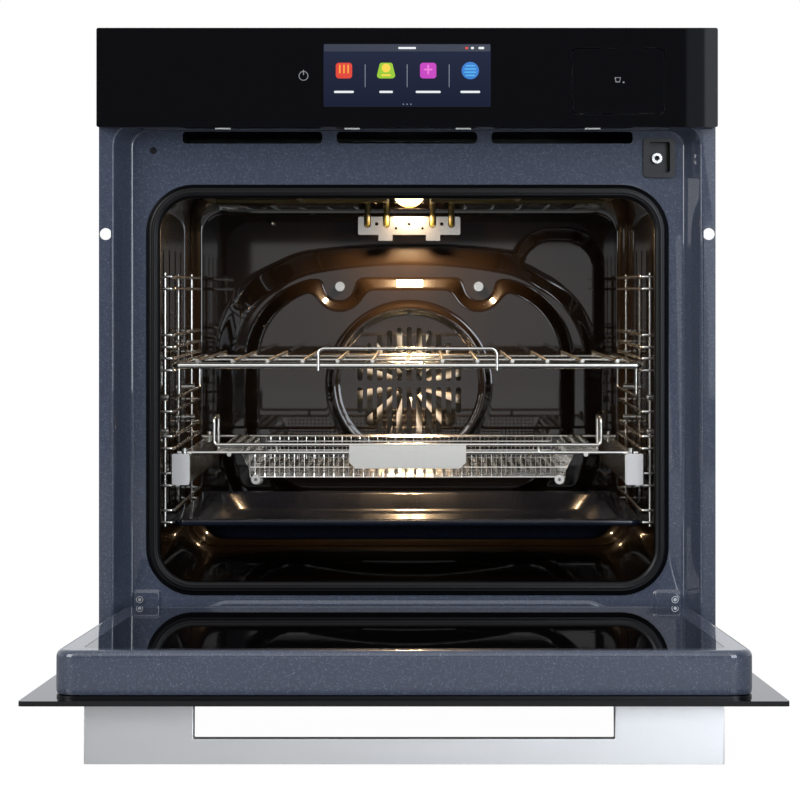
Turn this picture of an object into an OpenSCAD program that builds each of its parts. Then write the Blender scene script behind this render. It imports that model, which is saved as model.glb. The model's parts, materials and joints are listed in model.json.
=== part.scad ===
// Built-in wall oven of the 60 cm class, with its drop-down door shown open.
// X runs across the front (right is positive), Y runs into the oven and Z is up.
// The origin is on the carcass base, in the middle of the width, in the plane of the front flange.

/* [Front] */
// Width of the whole front
front_w = 595; // [594:1:596]
// Height of the whole front
front_h = 595; // [594:1:596]
// How far the front hangs below the shelf that the carcass stands on
front_drop = 8; // [7:0.5:9]
// Height of the control panel
panel_h = 95; // [94:1:96]
// How far the panel and the closed door stand in front of the flange
front_t = 20; // [20:1:21]
// Thickness of the panel glass and of the outer door glass
glass_t = 4; // [3:0.5:4]

/* [Carcass] */
// Width of the sheet-metal carcass
carcass_w = 556; // [554:1:558]
// Height of the carcass above the shelf
carcass_h = 576; // [574:1:577]
// Depth of the carcass behind the flange
carcass_d = 545; // [543:1:550]
// Thickness of the sheet metal
sheet = 1.2; // [1:0.1:1.2]

/* [Cavity] */
// Width inside the cavity
cavity_w = 494; // [492:1:494]
// Height inside the cavity
cavity_h = 400; // [398:1:400]
// Height of the cavity floor above the shelf
cavity_floor = 47; // [46:1:48]
// Where the flat back wall of the cavity lies
cavity_back_y = 438; // [437:1:439]
// Height of the fan's axis
fan_z = 229; // [228:1:230]

/* [Door] */
// Angle of the door when fully open
door_angle = 87; // [80:1:90]
// Height of the hinge pins
pivot_z = 10; // [10:0.5:10.5]
// Radius of the hinge pins
pin_r = 4; // [3.5:0.1:4]
// Radial clearance of the hinge pins and shafts
play = 0.05; // [0.03:0.01:0.08]
// Width of the door frame behind the outer glass
liner_w = 546; // [540:1:546]
// Top edge of the door frame
liner_top = 472.5; // [470:0.5:474]
// Width of the handle
handle_w = 500; // [480:1:510]
// How far the handle stands out from the glass
handle_d = 47.8; // [40:0.1:48]
// Thickness of the handle slab
handle_t = 12; // [10:0.5:14]
// Width and depth of the finger gap
grip = [329, 28]; // [20:0.1:340]

/* [Shelves] */
// Radius of the guide wires of the side ladders
guide_r = 1.5; // [1.4:0.1:1.5]
// Distance of the guide wires from the middle
guide_x = 231; // [230.8:0.1:231.2]
// Heights of the lower wire of each shelf level
levels = [106.2, 142.7, 179.3, 215.8, 256.5, 279.5, 337.2]; // [100:0.1:340]
// Gap between the two wires of a level
level_gap = 12; // [11.5:0.1:12.5]
// Radius of the rack's frame bars
bar_r = 3; // [2.9:0.1:3]
// Number of the rack's grid wires
rack_wires = 13; // [9:2:15]
// Spacing of the rack's grid wires
rack_pitch = 34.5; // [28:0.5:34.5]
// Depth of the baking tray
tray_depth = 22; // [20:1:24]

/* [Air-fry basket] */
// Half width of the basket floor
basket_x = 165.5; // [164:0.5:166]
// Front and back of the basket
basket_y = [72, 335]; // [70:1:336]
// Height of the basket floor and of its side flanges
basket_z = [149, 175.5]; // [148:0.5:176]

/* [Hidden] */

// Colours
enamel = [0.23, 0.25, 0.31];
dark_enamel = [0.13, 0.11, 0.10];
black_glass = [0.03, 0.03, 0.035];
zinc = [0.70, 0.71, 0.72];
steel = [0.78, 0.78, 0.76];
alu = [0.80, 0.80, 0.79];
black_plastic = [0.06, 0.06, 0.065];
white_plastic = [0.90, 0.90, 0.88];
ceramic_white = [0.88, 0.86, 0.80];
heater = [0.25, 0.24, 0.13];
clear_glass = [0.75, 0.82, 0.85, 0.5];

// Derived heights and faces
front_top = front_h - front_drop;
panel_bottom = front_top - panel_h;
door_top = panel_bottom - 3.5;
door_bottom = pivot_z + 1.5;
face_y = -front_t;
cavity_mid = cavity_floor + cavity_h / 2;
cavity_top = cavity_floor + cavity_h;
side_x = carcass_w / 2;

// Recess of the front frame: half width, bottom and top at the flange and at its floor
recess_front = [283.4, 6, panel_bottom + 2.5];
recess_floor = [270, 12, panel_bottom];
recess_y = 26;
flange_top = 579;

// Seal ring and mouth of the cavity
seal = [506, 397.8, 44];
seal_mid = 238.5;
seal_band = 11.5;
mouth = [485, 377, 35];

// Inner edge of the door window
window = [506, 418, 16];
window_mid = 245;
liner_face = 21.2;
liner_edge = 3.2;

// Water tank: left, right, bottom and top of the cover
tank = [158.3, 246, 505, 567];

// Hinge slot and arm, as distances from the middle
slot_x = [249.8, 262.2];
hinge_screw = [260.9, 34.2];
arm_x = [254, 258];

// Telescopic runner
runner_y = [62, 402];
stud_x = 221;
rod_r = 1.75;
carriage_top = 172.4;
cradle_front = 67.5;
cradle_rear = 344.5;

// Corner points of a box
module box(a, b) {
    translate(a) cube(b - a);
}

// A rectangle with rounded corners, centred on the origin
module rrect(w, h, r) {
    square([w - 2 * r, h], center = true);
    square([w, h - 2 * r], center = true);
    for (x = [-1, 1], y = [-1, 1])
        translate([x * (w / 2 - r), y * (h / 2 - r)]) circle(r, $fn = 48);
}

// Extrudes an outline drawn in X and Z from the plane y0 back to y1
module front_plate(y0, y1) {
    translate([0, y1, 0]) rotate([90, 0, 0]) linear_extrude(y1 - y0) children();
}

// Extrudes an outline drawn in Y and Z from x0 to x1
module side_plate(x0, x1) {
    translate([x0, 0, 0]) rotate([90, 0, 90]) linear_extrude(x1 - x0) children();
}

module mirror_pair() {
    children();
    mirror([1, 0, 0]) children();
}

// A round bar between two points
module rod(p, q, r) {
    v = q - p;
    h = norm(v);
    translate(p) rotate([0, acos(v.z / h), atan2(v.y, v.x)]) cylinder(h = h, r = r, $fn = 24);
}

function unit(v) = v / norm(v);

// A quarter (or other) bend of a bar at point p, from direction u to direction v
module bar_bend(p, u, v, r, bend) {
    turn = acos(u * v);
    back = bend * tan(turn / 2);
    n = unit(v - (u * v) * u);
    c = p - u * back + n * bend;
    w = cross(u, n);
    m = [[-n.x, u.x, w.x, c.x], [-n.y, u.y, w.y, c.y], [-n.z, u.z, w.z, c.z], [0, 0, 0, 1]];
    multmatrix(m) rotate_extrude(angle = turn, $fn = 48) translate([bend, 0]) circle(r, $fn = 24);
}

// A bent bar through a list of points, with the same bend radius at every corner
module bent_bar(points, r, bend) {
    last = len(points) - 1;
    dirs = [for (i = [0:last - 1]) unit(points[i + 1] - points[i])];
    cuts = [for (i = [0:last])
        i == 0 || i == last ? 0 : bend * tan(acos(dirs[i - 1] * dirs[i]) / 2)];
    for (i = [0:last - 1])
        rod(points[i] + dirs[i] * cuts[i], points[i + 1] - dirs[i] * cuts[i + 1], r);
    for (i = [1:last - 1])
        bar_bend(points[i], dirs[i - 1], dirs[i], r, bend);
}

// Turns a piece drawn on the closed door to the open pose
module opened() {
    translate([0, 0, pivot_z]) rotate([door_angle, 0, 0]) translate([0, 0, -pivot_z]) children();
}

// ---------------------------------------------------------------- casing

module base_tray() {
    color(zinc) difference() {
        union() {
            box([-side_x, 0, 0], [side_x, carcass_d, 1]);
            mirror_pair() box([side_x - 1, 20, 0.5], [side_x, carcass_d, 16]);
        }
        for (x = [-180:60:180])
            translate([x, 470, -1]) linear_extrude(3) rrect(36, 5, 2.4);
    }
}

module side_panel() {
    difference() {
        union() {
            box([side_x - 2.2, 20, 1.2], [side_x - 1.2, carcass_d - 2.4, carcass_h - 1.2]);
            box([side_x - 12, 29, 1.2], [side_x - 1.2, 30, carcass_h - 1.2]);
        }
        for (z = [500:12:548])
            side_plate(side_x - 4, side_x) translate([440, z]) rrect(70, 4, 1.9);
    }
}

module side_panel_left() {
    color(zinc) mirror([1, 0, 0]) side_panel();
}

module side_panel_right() {
    color(zinc) side_panel();
}

module top_cover() {
    color(zinc) difference() {
        union() {
            box([-side_x, 0.1, carcass_h - 1], [side_x, carcass_d, carcass_h]);
            mirror_pair() box([side_x - 1, 20, carcass_h - 16], [side_x, carcass_d, carcass_h - 0.5]);
        }
        for (x = [-90:22:90])
            translate([x, 470, carcass_h - 3]) linear_extrude(5) rrect(8, 60, 3.9);
    }
}

module rear_cover() {
    y = carcass_d - 1.2;
    color(zinc) difference() {
        union() {
            box([-side_x + 2.4, y, 1.2], [side_x - 2.4, y + 1, carcass_h - 1.2]);
            // pressed stiffening ribs
            for (z = [90, 390])
                front_plate(y - 2, y + 0.5) translate([0, z]) rrect(400, 14, 6.9);
        }
        for (z = [440:14:510])
            front_plate(y - 4, y + 4) translate([60, z]) rrect(180, 5, 2.4);
        front_plate(y - 4, y + 4) translate([-215, 550]) rrect(62, 36, 3);
    }
}

// ---------------------------------------------------------------- front frame

// The pressed recess as a solid block, from the flange to its floor, larger all round by grow
module recess_block(grow) {
    hull() {
        slab = 0.02;
        span = [recess_front, recess_floor];
        at = [grow > 0 ? -sheet / 2 : -sheet - 0.1, recess_y + grow - slab];
        for (i = [0, 1])
            front_plate(at[i], at[i] + slab)
                translate([0, (span[i][1] + span[i][2]) / 2])
                    rrect(2 * span[i][0] + 2 * grow, span[i][2] - span[i][1] + 2 * grow, 18 - 2 * i, $fn = 32);
    }
}

// Outline of the pressed ledge under the mouth of the cavity, with lower ends
module ledge_outline() {
    polygon([[-236, 17], [236, 17], [236, 26], [200, 26], [181, 33.4], [-181, 33.4], [-200, 26], [-236, 26]]);
}

// Outlines of the pressed pads round the hinge slots
module pad_outlines() {
    for (s = [-1, 1]) translate([s * 254.5, 30.5]) rrect(30, 27, 5);
}

module vent_slots() {
    for (v = [[-219.5, -83], [-69, 68], [82, 220]])
        front_plate(10, 30) translate([(v[0] + v[1]) / 2, 485]) rrect(v[1] - v[0], 12.4, 4);
}

module front_frame() {
    color(enamel) difference() {
        union() {
            front_plate(-sheet, 0) difference() {
                translate([0, (flange_top - front_drop) / 2]) rrect(front_w, flange_top + front_drop, 2);
                translate([0, 533]) rrect(2 * 262, 70, 4);
            }
            recess_block(sheet);
            front_plate(recess_y - 2, recess_y + 0.5) {
                ledge_outline();
                pad_outlines();
            }
        }
        recess_cut();
        front_plate(recess_y - 4, recess_y + 4) translate([0, seal_mid]) rrect(mouth[0], mouth[1], mouth[2]);
        vent_slots();
        // screw holes to the cabinet's sides
        mirror_pair() front_plate(-3, 1) translate([291, 390]) circle(5.75, $fn = 48);
        // locating notches in the flange
        mirror_pair() box([front_w / 2 - 4, -3, 14.5], [front_w / 2 + 1, 1, 17]);
        // hinge slots and hinge screws
        mirror_pair() box([slot_x[0], -3, 0], [slot_x[1], recess_y + 4, 27.5]);
        mirror_pair() front_plate(recess_y - 4, recess_y + 4) translate(hinge_screw) circle(2.2, $fn = 24);
        // steam overpressure hole and the probe socket's opening
        front_plate(recess_y - 4, recess_y + 4) translate([-248, 472]) circle(3.4, $fn = 32);
        front_plate(recess_y - 4, recess_y + 4) translate([245.5, 465]) rrect(25, 33, 3);
    }
}

// The inside of the recess, short of the pads and the ledge that stand on its floor
module recess_cut() {
    difference() {
        recess_block(0);
        front_plate(recess_y - 2, recess_y + 1) {
            ledge_outline();
            pad_outlines();
        }
    }
}

module cavity_gasket() {
    color(black_plastic) {
        translate([0, 0, seal_mid]) {
            // base lip against the frame
            front_plate(24.9, recess_y) difference() {
                rrect(seal[0] + 7.2, seal[1] + 5.4, seal[2] + 3);
                rrect(seal[0] - 2, seal[1] - 2, seal[2] - 1);
            }
            front_plate(23, recess_y) difference() {
                rrect(seal[0], seal[1], seal[2]);
                rrect(seal[0] - 2 * seal_band, seal[1] - 2 * seal_band, seal[2] - seal_band);
            }
            front_plate(liner_face + 0.4, 23) difference() {
                rrect(seal[0] - 5, seal[1] - 5, seal[2] - 2.5);
                rrect(seal[0] - 17, seal[1] - 17, seal[2] - 8.5);
            }
        }
    }
}

// ---------------------------------------------------------------- cavity

// Vertical stiffening grooves in the side walls
groove_y = [110, 170, 230, 290, 370];

module cavity_wrapper() {
    r = 30;
    z0 = cavity_floor + 60;
    z1 = cavity_top - 70;
    color(dark_enamel) difference() {
        union() {
            front_plate(recess_y + sheet + 0.1, cavity_back_y) translate([0, cavity_mid])
                rrect(cavity_w + 2 * sheet, cavity_h + 2 * sheet, r + sheet);
            mirror_pair() for (y = groove_y)
                translate([cavity_w / 2 - 5, y, z0 - 2]) cylinder(h = z1 - z0 + 4, r = 9.2, $fn = 48);
        }
        front_plate(0, cavity_back_y + 1) translate([0, cavity_mid]) rrect(cavity_w, cavity_h, r);
        mirror_pair() for (y = groove_y)
            translate([cavity_w / 2 - 5, y, z0]) cylinder(h = z1 - z0, r = 8, $fn = 48);
        // lamp opening in the ceiling
        translate([0, 398, cavity_top - 5]) cylinder(h = 12, r = 16, $fn = 48);
    }
}

// Outline of the pressed arch of the back wall, with the higher shoulder on the right
module arch_outline(inset) {
    translate([0, 225]) rrect(2 * (215 - inset), 2 * (160 - inset), 85 - inset);
    translate([158, 300]) rrect(2 * (62 - inset), 2 * (105 - inset), 42 - inset);
}

// Outline of the pocket that holds the fan and the ring element
module pocket_outline(inset) {
    translate([0, 205]) rrect(2 * (150 - inset), 2 * (125 - inset), 75 - inset);
}

module cavity_back() {
    y = cavity_back_y + 0.1;
    color(dark_enamel) difference() {
        union() {
            front_plate(y, y + sheet) translate([0, cavity_mid])
                rrect(cavity_w + 2 * sheet, cavity_h + 2 * sheet, 30 + sheet);
            front_plate(y - 5, y + 0.5) arch_outline(0);
            front_plate(y, y + 24) pocket_outline(0);
        }
        front_plate(y - 5 + sheet, y + sheet + 1) difference() {
            arch_outline(sheet);
            pocket_outline(0);
        }
        front_plate(y - 10, y + 24 - sheet) pocket_outline(sheet);
        // shaft, ring element and grill element holes
        front_plate(y, y + 30) translate([0, fan_z]) circle(8, $fn = 32);
        front_plate(y, y + 30) for (s = [-1, 1])
            translate([s * ring_r * sin(ring_gap), fan_z + ring_r * cos(ring_gap)]) circle(3.8, $fn = 24);
        front_plate(y - 6, y + 4) for (x = grill_drop) translate([x, 409]) circle(3.8, $fn = 24);
        front_plate(y - 6, y + 4) translate([-156, 412]) circle(3, $fn = 24);
        for (p = baffle_screw_at) front_plate(y - 8, y + 4) translate(p) circle(2.2, $fn = 24);
    }
}

// Radius of the ring element and half the angle of its gap
ring_r = 88;
ring_gap = 8;

// Places of the baffle's screws, in X and Z
baffle_screw_at = [[-79, 340], [79, 340], [-172, 119.5], [172, 119.5]];

// Face of the baffle, with bays that leave room for its screws
module baffle_face(inset) {
    difference() {
        translate([0, 200]) rrect(2 * (172 - inset), 2 * (136 - inset), 75 - inset);
        for (i = [0:3])
            translate(baffle_screw_at[i]) circle((i < 2 ? 29 : 13) + inset, $fn = 48);
    }
}

// Air slots of the baffle: columns that fill a circle, with a bar across the middle
module baffle_slots() {
    pitch = 11.2;
    w = 6.1;
    reach = 65;
    bar = 3.5;
    for (i = [-5:5]) {
        tall = sqrt(reach * reach - pow(i * pitch, 2));
        for (s = [-1, 1])
            translate([i * pitch, fan_z + s * (tall + bar) / 2]) rrect(w, tall - bar, w / 2 - 0.02);
    }
}

module rear_baffle() {
    y = 425;
    color(dark_enamel) difference() {
        union() {
            front_plate(y, y + 7.8) baffle_face(0);
            front_plate(y + 6.6, y + 7.8) difference() {
                translate([0, 205]) rrect(2 * 191, 2 * 146, 85);
                baffle_face(sheet);
            }
            // pressed ring round the slots
            front_plate(y - 2, y + 0.5) translate([0, fan_z]) difference() {
                circle(91.4, $fn = 96);
                circle(79.5, $fn = 96);
            }
        }
        front_plate(y + sheet, y + 9) baffle_face(sheet);
        front_plate(y - 1, y + 3) baffle_slots();
        // outlets for the hot air down both sides
        mirror_pair() for (z = [145:30:265])
            box([165, y + 1.8, z], [175, y + 6, z + 22]);
        for (p = baffle_screw_at) front_plate(y - 1, y + 9) translate(p) circle(2.2, $fn = 24);
    }
}

module baffle_screws() {
    color(steel) for (p = baffle_screw_at) {
        front_plate(429.9, 431.5) translate(p) circle(5.4, $fn = 32);
        front_plate(427.8, 430) translate(p) circle(3.3, $fn = 6);
        front_plate(431.4, 441) translate(p) circle(2, $fn = 24);
    }
}

// ---------------------------------------------------------------- fan and heaters

module convection_fan() {
    blades = 14;
    color(steel) translate([0, 0, fan_z]) {
        rotate([90, 0, 0]) difference() {
            union() {
                translate([0, 0, -453]) cylinder(h = 1, r = 68, $fn = 96);
                translate([0, 0, -456]) cylinder(h = 18, r = 9, $fn = 32);
                translate([0, 0, -500]) cylinder(h = 45, r = 4, $fn = 32);
                translate([0, 0, -439]) cylinder(h = 4, r = 6, $fn = 6);
            }
            for (i = [0:6])
                rotate(i * 360 / 7 + 25) translate([22, 0, -454]) cylinder(h = 3, r = 5, $fn = 24);
        }
        for (i = [0:blades - 1])
            rotate([0, i * 360 / blades, 0]) translate([38, 434.5, 0]) rotate([0, 24, 0])
                translate([0, 0, -0.5]) cube([27, 17.8, 1]);
    }
}

module fan_motor() {
    color(zinc) translate([0, 0, fan_z]) rotate([90, 0, 0]) difference() {
        union() {
            translate([0, 0, -520]) cylinder(h = 50, r = 34, $fn = 64);
            translate([0, 0, -524]) cylinder(h = 5, r = 9, $fn = 32);
            for (a = [45:90:315])
                rotate(a) translate([28, -9, -472]) cube([40, 18, 2]);
            for (a = [45:90:315])
                rotate(a) translate([60, 0, -472]) cylinder(h = 9.7, r = 6, $fn = 24);
        }
        translate([0, 0, -502]) cylinder(h = 60, r = 4 + play, $fn = 32);
    }
}

module ring_element() {
    color(heater) translate([0, 0, fan_z]) {
        for (y = [446, 455])
            translate([0, y, 0]) rotate([90, 0, 0]) rotate(90 + ring_gap)
                rotate_extrude(angle = 360 - 2 * ring_gap, $fn = 96) translate([ring_r, 0]) circle(3.2, $fn = 24);
        for (s = [-1, 1]) {
            x = s * ring_r * sin(ring_gap);
            z = ring_r * cos(ring_gap);
            rod([x, 446, z], [x, 476, z], 3.1);
            translate([x, 446, z]) sphere(3.25, $fn = 24);
        }
    }
}

// Where the grill elements drop to the back wall, and their working height
grill_drop = [-47.5, -26, 26.5, 48];
grill_z = 437;
grill_back = 419.8;

// One grill element: two drops at the back wall and a loop under the ceiling
module grill_loop(xa, xb, half_w, front_y, back_y) {
    color(heater) bent_bar([[xa, 452, 409], [xa, grill_back, 409], [xa, grill_back, grill_z],
        [xa, back_y, grill_z], [-half_w, back_y, grill_z], [-half_w, front_y, grill_z],
        [half_w, front_y, grill_z], [half_w, back_y, grill_z], [xb, back_y, grill_z],
        [xb, grill_back, grill_z], [xb, grill_back, 409], [xb, 452, 409]], 3.2, 6.5);
}

module grill_element_outer() {
    grill_loop(grill_drop[0], grill_drop[3], 220, 70, 402);
}

module grill_element_inner() {
    grill_loop(grill_drop[1], grill_drop[2], 120, 150, 366);
}

module element_bracket() {
    color(steel) difference() {
        union() {
            front_plate(419, 420.5) translate([0, 409]) rrect(116, 20.6, 2);
            for (x = [-27, 27]) box([x - 8, 419, 392], [x + 8, 420.5, 400]);
            for (x = [-27, 27]) box([x - 8, 419, 392], [x + 8, 438, 393.5]);
        }
        for (x = grill_drop) {
            front_plate(418, 422) translate([x, 410.5]) circle(3.9, $fn = 24);
            box([x - 3.9, 418, 410.5], [x + 3.9, 422, 421]);
        }
        front_plate(418, 422) for (x = [-37, 0, 37]) translate([x, 411]) circle(2, $fn = 24);
        front_plate(418, 422) for (x = [-15, 15]) translate([x, 406]) circle(1.5, $fn = 24);
    }
}

module bottom_element() {
    z = cavity_floor - sheet - 0.25 - 3.2;
    color(heater) bent_bar([[-40, 440, z], [-40, 380, z], [-190, 380, z], [-190, 90, z], [-95, 90, z],
        [-95, 330, z], [95, 330, z], [95, 90, z], [190, 90, z], [190, 380, z], [40, 380, z],
        [40, 440, z]], 3.2, 12);
}

module lamp_holder() {
    color(ceramic_white) translate([0, 398, 0]) difference() {
        union() {
            translate([0, 0, cavity_top + sheet + 0.1]) cylinder(h = 2, r = 22, $fn = 48);
            translate([0, 0, cavity_top + sheet + 0.1]) cylinder(h = 17, r = 18.5, $fn = 48);
        }
        translate([0, 0, cavity_top - 1]) cylinder(h = 14, r = 15.3, $fn = 48);
    }
}

module lamp_lens() {
    color([1, 0.85, 0.6, 0.7]) translate([0, 398, 0]) difference() {
        union() {
            intersection() {
                translate([0, 0, cavity_top - 1]) sphere(20, $fn = 64);
                translate([0, 0, cavity_top - 26]) cylinder(h = 25.9, r = 24, $fn = 48);
            }
            translate([0, 0, cavity_top - 2]) cylinder(h = 12, r = 14.8, $fn = 48);
        }
        translate([0, 0, cavity_top - 1]) sphere(12.5, $fn = 48);
        translate([0, 0, cavity_top - 1]) cylinder(h = 13, r = 12.3, $fn = 48);
    }
}

module temperature_sensor() {
    color(steel) {
        rod([-156, 424, 412], [-156, 452, 412], 2.4);
        translate([-156, 424, 412]) sphere(2.5, $fn = 32);
    }
}

module insulation_blanket() {
    color([0.82, 0.78, 0.62]) difference() {
        box([-268, 54, 20], [268, 430, 459]);
        box([-251.4, 53, 33], [251.4, 431, cavity_top + sheet + 1]);
        translate([0, 398, cavity_top - 5]) cylinder(h = 30, r = 25, $fn = 48);
        mirror_pair() box([245, 53, 19], [269, 56, 60]);
    }
}

// ---------------------------------------------------------------- side ladders

ladder_x = 240;
ladder_y = [60, 342];

module side_ladder() {
    // the wires run past the uprights, 0.05 clear of them at their welds
    y = [ladder_y[0] - 3.15, ladder_y[1] + 3.15];
    color(steel) {
        for (y = ladder_y)
            rod([ladder_x, y, 102], [ladder_x, y, 353], 1.6);
        // the fourth level has only its lower wire: the upper wall bush sits there
        for (i = [0:len(levels) - 1], dz = i == 3 ? [0] : [0, level_gap])
            translate([0, 0, levels[i] + dz])
                bent_bar([[245.8, y[0], 0], [guide_x, y[0], 0], [guide_x, y[1], 0], [245.8, y[1], 0]],
                    guide_r, 4);
        for (y = ladder_y) {
            rod([ladder_x - 3.5, y, 229.5], [246.9, y, 229.5], 3.6);
            rod([ladder_x - 3.5, y, 196], [246.9, y, 196], 3.2);
        }
    }
}

module side_ladder_left() {
    mirror([1, 0, 0]) side_ladder();
}

module side_ladder_right() {
    side_ladder();
}

// ---------------------------------------------------------------- runners and basket

module runner_fixed_rails() {
    low = levels[1];
    color(steel) mirror_pair() difference() {
        union() {
            box([227.3, runner_y[0], 145], [228.5, runner_y[1], 169.6]);
            box([222, runner_y[0], 168.4], [227.8, runner_y[1], 169.6]);
            box([222, runner_y[0], 145], [227.8, runner_y[1], 146.2]);
            for (y = [84, 300], z = [low, low + level_gap])
                box([228, y, z - 3], [234, y + 16, z + 3]);
        }
        for (y = [83, 299], z = [low, low + level_gap])
            translate([guide_x, y, z]) rotate([-90, 0, 0]) cylinder(h = 18, r = guide_r + 0.1, $fn = 24);
        for (y = [120, 345])
            translate([226, y, 157]) rotate([0, 90, 0]) cylinder(h = 5, r = 2.5, $fn = 24);
    }
}

module runner_middle_rails() {
    color(zinc) mirror_pair() {
        box([223.4, runner_y[0], 146.5], [224.6, runner_y[1], 168.1]);
        box([216, runner_y[0], 166.9], [224, runner_y[1], 168.1]);
        box([216, runner_y[0], 146.5], [224, runner_y[1], 147.7]);
    }
}

module runner_moving_rails() {
    color(steel) mirror_pair() {
        box([214.5, runner_y[0] - 11, 146], [215.7, runner_y[1], carriage_top]);
        box([215, runner_y[0] - 11, carriage_top - 1.2], [226, runner_y[1], carriage_top]);
        front_plate(50, 51.5) translate([223.8, 159.1]) rrect(17, 30.8, 1.5);
        for (y = [62, 350])
            translate([stud_x, y, carriage_top - 0.5]) cylinder(h = 7.5, r = 3, $fn = 32);
    }
}

module basket_cradle() {
    rod_z = carriage_top + 0.35 + rod_r;
    hoop = [192, 118, 209];
    wire_z = basket_z[1] - 0.25 - 2.2;
    color(steel) {
        rod([-228.5, cradle_front, rod_z], [228.5, cradle_front, rod_z], rod_r);
        rod([-228.5, cradle_rear, rod_z], [228.5, cradle_rear, rod_z], rod_r);
        mirror_pair() {
            // the upper front rod turns up into a hoop at each end
            bent_bar([[0, cradle_front, 182.3], [hoop.x, cradle_front, 182.3], [hoop.x, cradle_front, hoop.z],
                [hoop.x, hoop.y, hoop.z], [hoop.x, hoop.y, wire_z - 0.3], [177, hoop.y, wire_z - 0.3]], rod_r, 4);
            rod([177, cradle_front - 3, wire_z], [177, cradle_rear + 3, wire_z], 2.2);
            rod([130, cradle_front, rod_z], [130, cradle_front, 182.3], rod_r);
        }
    }
}

// A flat panel of woven mesh, drawn as a plate with square openings, centred on the origin
module mesh_panel(w, h, cell) {
    nx = floor((w - 4) / cell);
    ny = max(1, floor((h - 3) / cell));
    open = cell - 2.4;
    difference() {
        square([w, h], center = true);
        for (i = [0:nx - 1], j = [0:ny - 1])
            translate([(i - (nx - 1) / 2) * cell, (j - (ny - 1) / 2) * cell]) square(open, center = true);
    }
}

module basket_mesh() {
    t = 1.2;
    seam = 0.05;
    cell = 18;
    rim = 190;
    mid_y = (basket_y[0] + basket_y[1]) / 2;
    deep = basket_y[1] - basket_y[0];
    tall = basket_z[1] - basket_z[0] - t - 2 * seam;
    mid_z = (basket_z[0] + t + basket_z[1]) / 2;
    color(steel) {
        translate([0, mid_y, basket_z[0]]) linear_extrude(t) mesh_panel(2 * basket_x, deep, cell);
        for (y = [basket_y[0], basket_y[1] - t])
            front_plate(y, y + t) translate([0, mid_z]) mesh_panel(2 * (basket_x - t - seam), tall, cell);
        mirror_pair() {
            side_plate(basket_x - t, basket_x) translate([mid_y, mid_z]) mesh_panel(deep, tall, cell);
            translate([(basket_x - t + rim) / 2, mid_y, basket_z[1]])
                linear_extrude(t) mesh_panel(rim - basket_x + t, deep, cell);
            // round feet riveted to the lower corners
            for (y = [basket_y[0] - 2, basket_y[1] + seam])
                front_plate(y, y + 2 - seam) translate([151, basket_z[0] - 2.7]) difference() {
                    circle(5, $fn = 32);
                    circle(1.4, $fn = 24);
                }
        }
    }
}

module basket_plate() {
    color(steel) front_plate(64.2, 65.7) polygon([[-57.8, 182], [57.8, 182], [57.8, 165], [51.8, 159],
        [-51.8, 159], [-57.8, 165]]);
}

// ---------------------------------------------------------------- rack and tray

module wire_rack() {
    z = levels[4] + guide_r + 0.3 + bar_r;
    x = 230;
    y = [50, 400];
    // parts that are spot welded together stand this far apart
    weld = 0.05;
    rod_z = z + 1.15;
    grid_z = rod_z + 1.9 + 1.8 + weld;
    color(steel) {
        mirror_pair() bent_bar([[216, y[0], z], [x, y[0], z], [x, y[1], z], [216, y[1], z]], bar_r, 6);
        for (cy = y) rod([weld - 216, cy, z], [216 - weld, cy, z], bar_r);
        for (cy = [80, 225, 370]) rod([bar_r + weld - x, cy, rod_z], [x - bar_r - weld, cy, rod_z], 1.9);
        for (i = [0:rack_wires - 1]) {
            wx = (i - (rack_wires - 1) / 2) * rack_pitch;
            rod([wx, y[0] - 2.5, grid_z], [wx, y[1] + 2.5, grid_z], 1.8);
        }
        // loop handle at the front and the drop loops at the sides
        bent_bar([[-88, 45.3, z - 4.5], [-88, 45.3, z + 17], [88, 45.3, z + 17], [88, 45.3, z - 4.5]], 1.65, 6);
        mirror_pair()
            bent_bar([[226.8, 65, z - 2.6], [226.8, 65, z - 30.7], [226.8, 293, z - 30.7],
                [226.8, 293, z - 2.6]], 1.5, 3);
    }
}

module baking_tray() {
    z = levels[0] + guide_r + 0.3;
    mid_y = 225;
    color([0.16, 0.18, 0.24]) difference() {
        union() {
            translate([0, mid_y, z]) linear_extrude(sheet) rrect(464, 354, 14);
            tray_bowl(z, mid_y, 0);
            // folded front and rear lips
            for (y = [48, 402 - sheet])
                box([-216, y, z - 4.5], [216, y + sheet, z + 0.5]);
        }
        tray_bowl(z, mid_y, sheet);
    }
}

// The tray's bowl as a solid, smaller all round by inset
module tray_bowl(z, mid_y, inset) {
    lift = inset > 0 ? 3 : 0;
    hull() {
        translate([0, mid_y, z + lift]) linear_extrude(0.2) rrect(420 - 2 * inset, 318 - 2 * inset, 30 - inset, $fn = 32);
        translate([0, mid_y, z + inset - tray_depth])
            linear_extrude(0.2) rrect(388 - 2 * inset, 290 - 2 * inset, 26 - inset, $fn = 32);
    }
}

// ---------------------------------------------------------------- control panel and steam system

module tank_outline(grow) {
    translate([(tank[0] + tank[1]) / 2, (tank[2] + tank[3]) / 2])
        rrect(tank[1] - tank[0] + 2 * grow, tank[3] - tank[2] + 2 * grow, 5 + grow);
}

module panel_glass() {
    mid = (front_top + panel_bottom) / 2;
    color(black_glass) front_plate(face_y, face_y + glass_t) difference() {
        translate([0, mid]) rrect(front_w, panel_h, 2);
        tank_outline(0.8);
    }
}

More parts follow.
